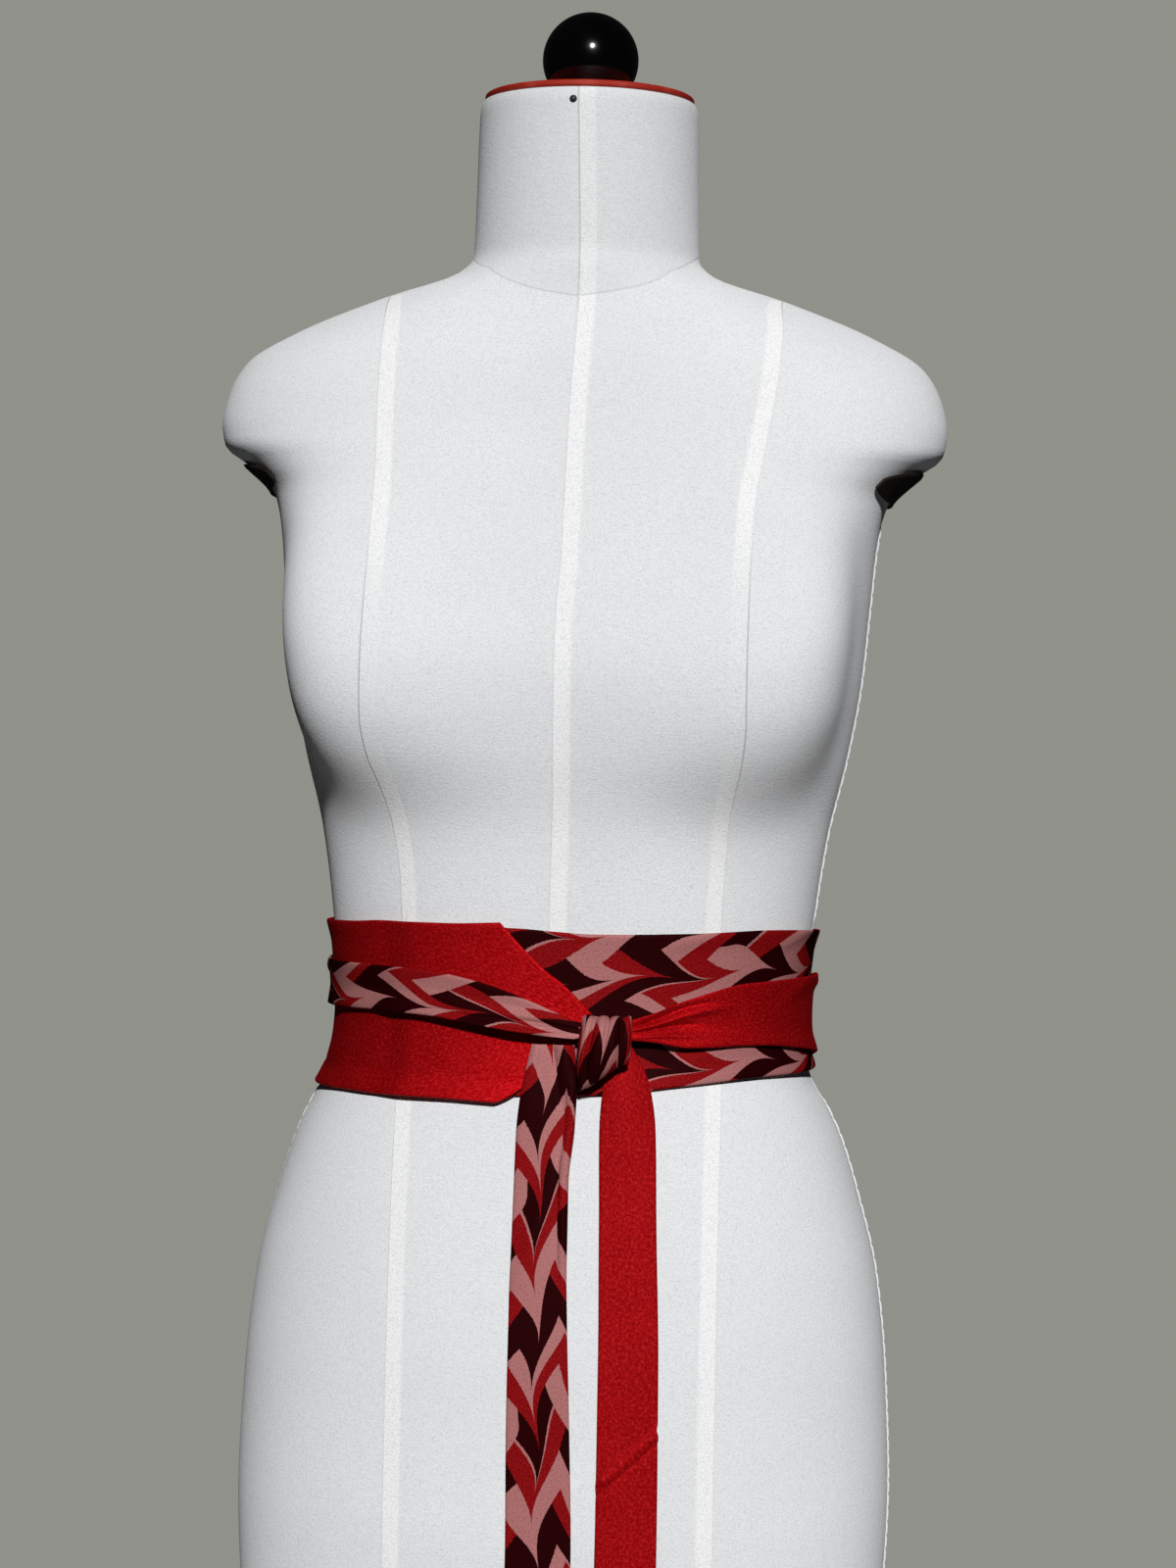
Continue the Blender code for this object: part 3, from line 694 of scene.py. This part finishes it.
def seams(finish, height, on_neck):
    """How much of a tape and of a seam line shows at each place of the cover."""
    bust = finish.times(finish.between(height, *BUST_FROM), finish.between(height, *BUST_TO, 1.0, 0.0))
    neck = finish.between(height, *NECK_FROM, 0.0, 0.55)
    drawn_centre = finish.greater(neck, 0.14)
    shown_centre = finish.scaled(on_neck, -0.35, 0.85)
    drawn_side = finish.greater(finish.greater(finish.times(bust, 0.8), neck), 0.06)
    shown_side = finish.scaled(bust, -0.75, 0.85)
    tape, line = 0.0, 0.0
    for name in ("front_seams", "back_seams"):
        for number, away in enumerate(finish.parts(finish.attribute(name))):
            drawn, shown = (drawn_side, shown_side) if number else (drawn_centre, shown_centre)
            inner = finish.between(away, TAPE_WIDTH - 2.0, TAPE_WIDTH + 0.6, 1.0, 0.0)
            here = finish.times(finish.between(away, 0.1, 0.9), inner)
            tape = finish.greater(tape, finish.times(here, shown))
            near = finish.between(finish.math("ABSOLUTE", away), 0.05, 0.6, 1.0, 0.0)
            line = finish.greater(line, finish.times(near, drawn))
    for away in finish.parts(finish.attribute("cross_seams")):
        near = finish.between(finish.math("ABSOLUTE", away), 0.1, 0.9, 0.9, 0.0)
        line = finish.greater(line, finish.times(near, drawn_side))
    return tape, line


def calico():
    """A taut cotton cover: its grain, the tapes that show beside the seams and the seam lines."""
    finish = Finish("calico")
    place = finish.place()
    height = finish.parts(place)["Z"]
    grain = weave(finish, finish.mapped(place, (1 / MM,) * 3), 0.9)
    threads = finish.noise(finish.mapped(place, (300, 300, 1900)), 1.0, 3.0, 0.6)
    patches = finish.noise(place, 9.0, 3.0, 0.55)
    colour = finish.mix(finish.between(patches, 0.35, 0.65, 0.0, 0.5), CALICO, CALICO_DEEP)
    on_neck = finish.between(finish.parts(finish.attribute("cross_seams"))["Z"], 0.0, 1.5)
    specks = finish.between(finish.noise(finish.mapped(place, (420, 420, 420)), 1.0, 1.0), 0.76, 0.80)
    colour = finish.mix(finish.times(specks, 0.35), colour, (0.42, 0.40, 0.38))
    colour = finish.mix(finish.between(threads, 0.35, 0.7, 0.10, 0.0), colour, (0.45, 0.46, 0.48))
    # The neck is made greyer, with slubs: partly the cloth's own greyer tone, partly painted shade for the
    # neck's darker shading.
    slubs = finish.noise(finish.mapped(place, (160, 160, 900)), 1.0, 3.0, 0.6)
    slubs = finish.between(slubs, 0.35, 0.65, 1.0, 0.55)
    neck_grey_and_shade = finish.times(finish.times(on_neck, 0.32), slubs)
    colour = finish.mix(neck_grey_and_shade, colour, (0.58, 0.59, 0.60))
    tape, line = seams(finish, height, on_neck)
    colour = finish.mix(tape, colour, TAPE)
    colour = finish.mix(line, colour, SEAM)
    fine = finish.noise(finish.mapped(place, (1150, 1150, 1150)), 1.0, 2.0, 0.8)
    colour = finish.mix(finish.between(fine, 0.34, 0.56, 0.42, 0.0), colour, (0.47, 0.48, 0.50))
    normal = finish.bump(grain, 0.00035, 0.8)
    normal = finish.bump(threads, 0.0002, 0.5, normal)
    normal = finish.bump(finish.math("SUBTRACT", 1.0, line), 0.0005, 0.8, normal)
    normal = finish.bump(tape, 0.0003, 0.6, normal)
    return finish.set(
        Base_Color=colour, Roughness=0.9, Diffuse_Roughness=0.20, Normal=normal, Specular_IOR_Level=0.2,
    )


def leather(name, colour, worn, roughness):
    """A grained leather, lighter where it is rubbed."""
    finish = Finish(name)
    place = finish.place()
    fine = {"Vector": finish.mapped(place, (900, 900, 900))}
    pores = finish.node("ShaderNodeTexVoronoi", fine).outputs["Distance"]
    rub = finish.noise(place, 60.0, 3.0)
    tone = finish.mix(finish.between(rub, 0.45, 0.75, 0.0, 0.6), colour, worn)
    return finish.set(
        Base_Color=tone, Roughness=finish.between(rub, 0.3, 0.7, roughness + 0.1, roughness - 0.08),
        Normal=finish.bump(pores, 0.0002, 0.6), Specular_IOR_Level=0.25,
    )


def black_gloss():
    """A black lacquered wooden ball with faint handling marks."""
    finish = Finish("black_gloss")
    place = finish.place()
    smear = finish.noise(finish.mapped(place, (70, 70, 25)), 1.0, 3.0)
    tone = finish.mix(smear, (0.0003, 0.0003, 0.0004), (0.0014, 0.0013, 0.0014))
    return finish.set(
        Base_Color=tone, Roughness=finish.between(smear, 0.35, 0.75, 0.09, 0.18), Specular_IOR_Level=0.25,
        Normal=finish.bump(finish.noise(place, 180.0, 2.0), 0.00008, 0.3),
        Coat_Weight=0.4, Coat_Roughness=0.08,
    )


def stand_metal():
    """A dark powder-coated steel."""
    finish = Finish("stand_metal")
    place = finish.place()
    speckle = finish.noise(place, 900.0, 2.0)
    cloud = finish.noise(place, 14.0, 3.0)
    tone = finish.mix(cloud, (0.018, 0.018, 0.019), (0.034, 0.034, 0.035))
    return finish.set(
        Base_Color=tone, Metallic=0.55, Roughness=finish.between(cloud, 0.3, 0.7, 0.42, 0.55),
        Normal=finish.bump(speckle, 0.0001, 0.5),
    )


# --- form and stand


FAR = 500.0  # a distance that no seam's tape or line reaches


def seam_place(table, z):
    """A seam's sideways place at each height."""
    return smooth(z, *columns(table))


def box_in_mm(node):
    """A node's lowest and highest corners in millimetres, heights from the floor."""
    return [np.array(corner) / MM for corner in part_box(node)]


def build_cover(finish):
    """The form's cover, with its distances from each seam as attributes."""
    knots = np.sort(columns(TORSO)[0])
    levels = np.unique(np.concatenate([
        np.linspace(a, b, max(2, int(math.ceil((b - a) / COVER_ROW)) + 1)) for a, b in zip(knots, knots[1:])
    ]))
    turns = np.arange(COVER_AROUND) * 360 / COVER_AROUND - 180
    turns = turns - COVER_CLOSER * np.sin(np.radians(4 * turns)) * 45 / math.pi / 2
    turn, z = np.meshgrid(turns, levels)
    surface = torso_point(turn, z)
    faces = tube_faces(len(levels), COVER_AROUND)
    piece = mesh_piece("form_cover", surface.reshape(-1, 3), faces, finish)
    piece.data.set_sharp_from_angle(angle=math.radians(40))
    around = torso_point(turn + 0.5, z) - torso_point(turn - 0.5, z)
    degree = np.linalg.norm(around, axis=-1)
    upward = np.linalg.norm(torso_point(turn, z + 0.5) - torso_point(turn, z - 0.5), axis=-1)
    x = surface[..., 0]
    slant = degree / np.maximum(np.abs(around[..., 0]), 0.25 * degree)
    ahead = np.cos(np.radians(turn)) > 0
    off = FAR * np.sign(turn)
    ended = np.where(z > SEAM_TOP, 3 * FAR, 0.0)

    def from_seam(table):
        """Distance along the cover from a seam in front, positive towards +X."""
        return np.where(ahead, (x - seam_place(table, z)) * slant, off)

    front = [from_seam(CENTRE_SEAM), from_seam(LEFT_SEAM) + ended, ended - from_seam(RIGHT_SEAM)]
    vector_attribute(piece, "front_seams", np.stack(front, axis=-1))
    aside = seam_place(BACK_SEAM, z)
    back = [
        np.where(ahead, FAR, x * slant),
        np.where(ahead, FAR, (x + aside) * slant) + ended,
        np.where(ahead, FAR, (aside - x) * slant) + ended,
    ]
    vector_attribute(piece, "back_seams", np.stack(back, axis=-1))
    neck = (z - smooth(turn, *columns(NECK_SEAM))) * upward
    shoulder = np.where(z > 250, 0.0, 10 * FAR)
    cross = [(turn + 90) * degree + shoulder, (turn - 90) * degree + shoulder, neck]
    vector_attribute(piece, "cross_seams", np.stack(cross, axis=-1))
    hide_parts("torso_form")


def build_ridges(finish):
    """The raised seam down each side, drawn in by its stitches and flat under the sash."""
    z = np.arange(RIDGE["bottom"], RIDGE["top"], 0.9)
    under_sash = ease((SASH_TOP - z) / 6) * ease((z - SASH_BOTTOM) / 6)
    ends = ease((z - RIDGE["bottom"]) / 8) * ease((RIDGE["top"] - z) / 8)
    beads = 1 - RIDGE["pinch"] * hump(z % RIDGE["stitch"] - RIDGE["stitch"] / 2, 0.8)
    height = RIDGE["height"] * beads * ends * (1 - 0.72 * under_sash)
    width = RIDGE["half_width"] * beads
    around = np.radians(np.linspace(-100, 100, 9))
    aside = width[:, None] * np.sin(around)
    proud = height[:, None] * (0.45 + 0.55 * np.cos(around)) - 0.1
    for name, side in (("left", -90), ("right", 90)):
        foot, out = torso_point(side, z), torso_normal(side, z)
        across = unit(torso_point(side + 1.0, z) - torso_point(side - 1.0, z))
        rings = foot[:, None] + across[:, None] * aside[..., None] + out[:, None] * proud[..., None]
        faces = tube_faces(len(z), len(around))
        ridge = mesh_piece(f"side_seam_{name}", rings.reshape(-1, 3), faces, finish)
        for attribute in ("front_seams", "back_seams", "cross_seams"):
            vector_attribute(ridge, attribute, np.full((aside.size, 3), -FAR))


def build_neck(red, black, metal):
    """The leather cap, the ball on it and the nail in the neck."""
    low, high = box_in_mm("neck_cap")
    wide, deep = high[:2]
    insets = rounded(0, low[2] - WAIST, high[2] - WAIST, CAP_EDGE)
    profile = [(1 + inset / wide, z) for inset, z in insets]
    cap = turned("neck_cap_leather", profile, red, wide=wide, deep=deep)
    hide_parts("neck_cap")
    low, high = box_in_mm("knob")
    radius = high[0]
    centre = high[2] - WAIST - radius
    foot = math.asin(max(-1, (low[2] - WAIST - centre) / radius))
    lifts = np.linspace(foot, math.radians(89.5), 48)
    profile = [(radius * math.cos(a), centre + radius * math.sin(a)) for a in lifts]
    ball = turned("knob_ball", profile, black)
    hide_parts("knob")
    nail = turned("neck_nail", NAIL["head"], metal, sides=24, above_waist=False)
    place = Vector(torso_point(NAIL["turn"], NAIL["z"]) + (0, 0, WAIST)) * MM
    out = Vector(torso_normal(NAIL["turn"], NAIL["z"]))
    spin = Vector((0, 0, 1)).rotation_difference(out).to_matrix().to_4x4()
    nail.data.transform(Matrix.Translation(place) @ spin)


def build_plates(finish):
    """The leather plate under each shoulder stump, its near-black tone partly painted shade for the stump's
    shadowed underside.
    """
    along = np.linspace(-PLATE["end"], PLATE["end"], 61)[:, None]
    across = np.linspace(-1, 1, 17)[None, :]
    z = PLATE["z"] + PLATE["half_height"] * across * np.sqrt(1 - along**2)
    for name, middle in (("left", -90), ("right", 90)):
        turn = middle + PLATE["half_turn"] * along
        outward = torso_normal(turn, z)
        points = (torso_point(turn, z) + PLATE["lift"] * outward, outward, 100 * along, 10 * across)
        piece = shell(f"armhole_leather_{name}", *points, finish, "brown_leather")
        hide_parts(f"armhole_plate_{name}")


def build_stand(finish):
    """The base and the pole with rounded edges, and the flange's material on its own solid."""
    pieces = (("stand_base", "base_disc", BASE_EDGE, 128), ("stand_pole", "pole_tube", POLE_EDGE, 48))
    for node, name, edge, sides in pieces:
        low, high = box_in_mm(node)
        profile = rounded(high[0], low[2], high[2], edge)
        piece = turned(name, profile, finish, sides, above_waist=False)
        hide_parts(node)
    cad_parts["stand_flange"].data.materials[0] = finish


# --- sash


def crease_relief(turn, share, width, table):
    """Soft troughs and ridges placed one by one, in mm, over a stretch of that width."""
    total = 0 * (turn + share)
    arc = np.linalg.norm(torso_point(1.0, 0.0) - torso_point(0.0, 0.0)) * 1.05  # the length of a degree
    for from_turn, from_share, to_turn, to_share, half_width, height in table:
        run = np.array([(to_turn - from_turn) * arc, (to_share - from_share) * width])
        length = np.hypot(*run)
        x, y = (turn - from_turn) * arc, (share - from_share) * width
        t = (x * run[0] + y * run[1]) / length**2
        bend = 0.06 * length * np.sin(np.pi * np.clip(t, 0, 1))
        away = (x * run[1] - y * run[0]) / length + bend
        ends = ease(t / 0.3 + 0.3) * ease((1 - t) / 0.5)
        total = total + height * ends * hump(away, half_width)
    return total


def stretch(table, point=0.0, creases=(), gathered=None, start=0.0):
    """Inner points, outward directions and cloth coordinates of a stretch round the form.

    gathered is the width of the cloth before it is drawn together, if it is.
    """
    turns, tops, bottoms, lifts, top_flares, bottom_flares = columns(table)
    girth = abs(turns[-1] - turns[0]) * 2.0
    turn = (turns[0] + (turns[-1] - turns[0]) * edge_spaced(girth, CLOTH_STEP))[:, None]
    width = float((tops - bottoms).max())
    share = edge_spaced(width, CLOTH_STEP)[None, :]
    top, bottom, top_flare, bottom_flare = (
        smooth(turn, turns, values) for values in (tops, bottoms, top_flares, bottom_flares)
    )
    z = bottom + (top - bottom) * share
    back_from_end = np.abs(turn - turns[0])
    arrow = np.where(share > 0.5, 2 - 2 * share, (2 * np.minimum(share, 0.5)) ** 0.65)
    shift = point * ease(1 - back_from_end / (4 * max(point, 1))) * arrow
    moved = turn + shift
    lift = smooth(moved, turns, lifts)
    lift = lift + top_flare * ease(1 - (top - z) / HEM) + bottom_flare * ease(1 - (z - bottom) / HEM)
    lift = lift + crease_relief(moved, share, width, creases)
    outward = torso_normal(moved, z)
    inner = torso_point(moved, z) + lift[..., None] * outward
    middle = inner.shape[1] // 2
    along = running(inner, 0)[:, middle : middle + 1] + start
    across = (share - 0.5) * (gathered or top - bottom)
    return inner, outward, along, across


def sheet(node, points, finish, slot):
    """The fine shell over a node, which takes the node's place and hides it."""
    piece = shell(f"{node}_cloth", *points, finish, slot)
    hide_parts(node)


def build_stretch(node, table, finish, slot, **how):
    """One stretch of the sash. Gives back the place along the cloth where it ends."""
    points = stretch(table, **how)
    sheet(node, points, finish, slot)
    return float(points[2].max())


def build_knot(finish):
    """The print loop of the knot, with the folds of the gathered cloth."""
    turn_over = np.radians(90 - 180 * edge_spaced(70, 1.2))[:, None]
    across = edge_spaced(27, 0.7)[None, :]
    bottom = LOOP["left_bottom"] + (LOOP["right_bottom"] - LOOP["left_bottom"]) * ease(across)
    middle, half = (LOOP["top"] + bottom) / 2, (LOOP["top"] - bottom) / 2
    z = middle + half * np.sin(turn_over)
    swell = LOOP["edge"] + (LOOP["front"] - LOOP["edge"]) * np.sin(np.pi * across) ** 0.8
    back = LOOP["top_back"] + (LOOP["bottom_back"] - LOOP["top_back"]) * (1 - np.sin(turn_over)) / 2
    facing = np.cos(turn_over)
    down = (1 - np.sin(turn_over)) / 2
    folds = sum(
        height * hump(across - (top + (low - top) * down), half_width)
        for top, low, half_width, height in KNOT_PLEATS
    )
    folds = folds * (1 - 0.8 * ease((down - 0.70) / 0.22))
    y = -(back + (swell - back) * facing**0.6 + folds * facing**0.5)
    z = z + 0.45 * folds * np.sin(turn_over)
    lean = LOOP["lean"] * (LOOP["top"] - z) / (LOOP["top"] - LOOP["left_bottom"])
    barrel = 1 + 0.09 * (facing**2 - 0.5)
    centre = (LOOP["left"] + LOOP["right"]) / 2
    x = centre + (LOOP["right"] - LOOP["left"]) * (across - 0.5) * barrel - lean
    outer = np.stack([x + 0 * y, y, z], axis=-1)
    outward = unit(np.cross(np.gradient(outer, axis=0), np.gradient(outer, axis=1)))
    along = running(outer, 0) + KNOT_START[0]
    width = (across - 0.5 + 0.12 * down) * KNOT_WIDTH + KNOT_START[1]
    sheet("knot_loop", (outer - WALL * outward, outward, along, width), finish, "print_satin")


def taut(heights, reach):
    """The reach of a cloth that hangs from the top and is held out by what it passes."""
    line = reach.copy()
    farthest = int(np.argmax(reach))
    line[farthest:] = reach[farthest]
    i = 0
    while i < farthest:
        slopes = (reach[i + 1 : farthest + 1] - reach[i]) / (heights[i] - heights[i + 1 : farthest + 1])
        end = i + 1 + int(np.argmax(slopes))
        line[i : end + 1] = np.interp(heights[i : end + 1][::-1], heights[[end, i]], reach[[end, i]])[::-1]
        i = end
    return line


def tail(table, relief, start, aside=0.0):
    """Inner points, outward directions and cloth coordinates of a tail, from the knot down."""
    knots, lefts, rights, unders, offs = columns(table)
    length = knots[0] - knots[-1]
    z = knots[0] - length * edge_spaced(length, 1.1)
    width = np.max(rights - lefts)
    share = edge_spaced(width, 1.0)
    left, right, under, off = (smooth(z, knots, values) for values in (lefts, rights, unders, offs))
    x = left[:, None] + (right - left)[:, None] * share[None, :]
    beside = np.linspace(x.min(), x.max(), 9)
    carried = np.maximum(z, TORSO[-1][0])
    fronts = [np.array([torso_front(place, height) for height in carried]) for place in beside]
    lines = np.array([taut(z, front + under) for front in fronts])
    reach = np.array([np.interp(x[i], beside, lines[:, i]) for i in range(len(z))])
    bow = off[:, None] * np.sin(np.pi * share)[None, :]
    y = -(reach + TAIL_CLEAR + bow + relief(z[:, None], share[None, :]))
    inner = np.stack([x, y, np.repeat(z[:, None], len(share), axis=1)], axis=-1)
    outward = unit(np.cross(np.gradient(inner, axis=0), np.gradient(inner, axis=1)))
    along = running(inner, 0)[:, len(share) // 2][:, None] + start
    across = (share[None, :] - 0.5) * width + aside
    return inner, outward, along, across


def print_tail_relief(z, share):
    """The rolled right edge of the print tail and its twist below the knot."""
    roll = 1.5 * hump(share - 0.93, 0.05) - 0.5 * hump(share - 0.84, 0.03)
    roll = roll * ease((-24 - z) / 14) * ease((z + 130) / 26)
    slope = share - 0.5 - (z + 95) / 90
    twist = 0.9 * hump(slope, 0.16) * ease((-60 - z) / 20) * ease((z + 150) / 30)
    near_knot = ease((z + 50) / 26)
    puff = 2.6 * hump(share - 0.76 + (z + 12) / 160, 0.17)
    valley = 1.3 * hump(share - 0.50 + (z + 12) / 110, 0.06)
    edge = 0.9 * hump(share - 0.12, 0.10)
    return np.maximum(roll + twist + (puff - valley + edge) * near_knot, -0.2)


def red_tail_relief(z, share):
    """The red tail's crown and its slanting crease."""
    below = z - RED_TAIL_CREASE["z"] - RED_TAIL_CREASE["slant"] * (share - 0.5)
    fold = 1.5 * hump(below, 2.2) - 0.5 * hump(below + 4.2, 2.0)
    crown = 1.4 * np.sin(np.pi * share) * ease((z + 90) / 60)
    return crown + fold * ease((share + 0.05) / 0.2)


def build_sash(red, red_tail_shaded, printed):
    """Every stretch of the sash, its knot and its two tails."""
    end = build_stretch("red_panel", RED_PANEL, red, "red_satin", point=RED_POINT, creases=RED_PANEL_CREASES)
    end = build_stretch(
        "red_tie", RED_TIE, red, "red_satin",
        creases=RED_TIE_CREASES, gathered=RED_TIE_WIDTH, start=end,
    )
    # The red tail takes the darker copy of the satin: its tone is painted shade.
    sheet("red_tail", tail(RED_TAIL, red_tail_relief, end), red_tail_shaded, "red_satin")
    end = build_stretch(
        "print_panel", PRINT_PANEL, printed, "print_satin",
        creases=PRINT_PANEL_CREASES, start=PRINT_PANEL_START,
    )
    build_stretch(
        "print_tie", PRINT_TIE, printed, "print_satin",
        creases=PRINT_TIE_CREASES, gathered=PRINT_TIE_WIDTH, start=end,
    )
    build_knot(printed)
    sheet("print_tail", tail(PRINT_TAIL, print_tail_relief, *PRINT_TAIL_START), printed, "print_satin")


# --- studio


ROOM_SEEN = (0.282, 0.285, 0.255)
ROOM_FILL = (0.011, 0.0115, 0.0125)
FLOOR_RADIUS = 0.8
# The camera's turn and roll in degrees, its distance and place in metres and its lens in mm.
CAMERA = {"turn": 5, "roll": 1.15, "away": 2.1, "aside": 0.006, "height": 1.155, "lens": 94.5}


def place_camera():
    """The photograph's view: a little from the right of the form's front, level with its ribs."""
    turn, roll = math.radians(CAMERA["turn"]), math.radians(CAMERA["roll"])
    right = Vector((math.cos(turn), math.sin(turn), 0))
    forward = Vector((-math.sin(turn), math.cos(turn), 0))
    up = Vector((0, 0, 1))
    x = right * math.cos(roll) + up * math.sin(roll)
    y = up * math.cos(roll) - right * math.sin(roll)
    data = bpy.data.cameras.new("camera")
    data.lens, data.sensor_width = CAMERA["lens"], 36.0
    camera = placed("camera", data)
    spot = -forward * CAMERA["away"] + right * CAMERA["aside"] + up * CAMERA["height"]
    camera.matrix_world = Matrix.Translation(spot) @ Matrix((x, y, -forward)).transposed().to_4x4()
    bpy.context.scene.camera = camera


def sun_light(name, turn, lift, strength, soft):
    """A far light at a turn from the front and a lift above the floor, soft degrees across."""
    data = bpy.data.lights.new(name, "SUN")
    data.energy, data.angle = strength, math.radians(soft)
    light = placed(name, data)
    a, e = math.radians(turn), math.radians(lift)
    toward = Vector((math.sin(a) * math.cos(e), -math.cos(a) * math.cos(e), math.sin(e)))
    light.rotation_euler = toward.to_track_quat("Z", "Y").to_euler()
    light.location = toward * 4
    return light


def build_studio():
    """A pale floor, an even grey room, a sun in front and a soft one behind."""
    mesh_data = bmesh.new()
    bmesh.ops.create_circle(mesh_data, cap_ends=True, segments=96, radius=FLOOR_RADIUS)
    mesh = bpy.data.meshes.new("floor")
    mesh_data.to_mesh(mesh)
    mesh_data.free()
    floor = placed("floor", mesh)
    finish = Finish("floor")
    place = finish.place()
    tone = finish.mix(finish.noise(place, 3.0, 3.0), (0.42, 0.42, 0.405), (0.47, 0.47, 0.455))
    mesh.materials.append(finish.set(Base_Color=tone, Roughness=0.85))
    world = bpy.data.worlds.new("room")
    world.use_nodes = True
    nodes, links = world.node_tree.nodes, world.node_tree.links
    seen = nodes["Background"]
    seen.inputs["Color"].default_value = (*ROOM_SEEN, 1)
    fill = nodes.new("ShaderNodeBackground")
    fill.inputs["Color"].default_value = (*ROOM_FILL, 1)
    either = nodes.new("ShaderNodeMixShader")
    links.new(nodes.new("ShaderNodeLightPath").outputs["Is Camera Ray"], either.inputs["Fac"])
    links.new(fill.outputs["Background"], either.inputs[1])
    links.new(seen.outputs["Background"], either.inputs[2])
    links.new(either.outputs["Shader"], nodes["World Output"].inputs["Surface"])
    bpy.context.scene.world = world
    sun_light("key", turn=9, lift=27, strength=3.55, soft=4)
    sun_light("back", turn=180, lift=35, strength=1.3, soft=20).visible_glossy = False
    bpy.context.scene.view_settings.view_transform = "Standard"


place_camera()
build_studio()
metal = stand_metal()
cover = calico()
build_cover(cover)
build_ridges(cover)
cap = leather("red_leather", colour=(0.36, 0.018, 0.008), worn=(0.50, 0.070, 0.045), roughness=0.45)
build_neck(cap, black_gloss(), metal)
# The plates' brown is near black: partly the leather's own tone, partly painted shade under the stumps.
plate = leather("brown_leather", colour=(0.012, 0.007, 0.005), worn=(0.030, 0.016, 0.011), roughness=0.55)
build_plates(plate)
build_stand(metal)
# Two copies of one satin: the panel and tie are painted a little paler as lit, and the tail is painted
# darker, as painted shade where it hangs away from the light.
red = red_satin("red_satin", shine=0.60, shade=1.04)
red_tail_shaded = red_satin("red_satin_tail_shaded", shine=0.20, shade=0.80)
build_sash(red, red_tail_shaded, print_satin())
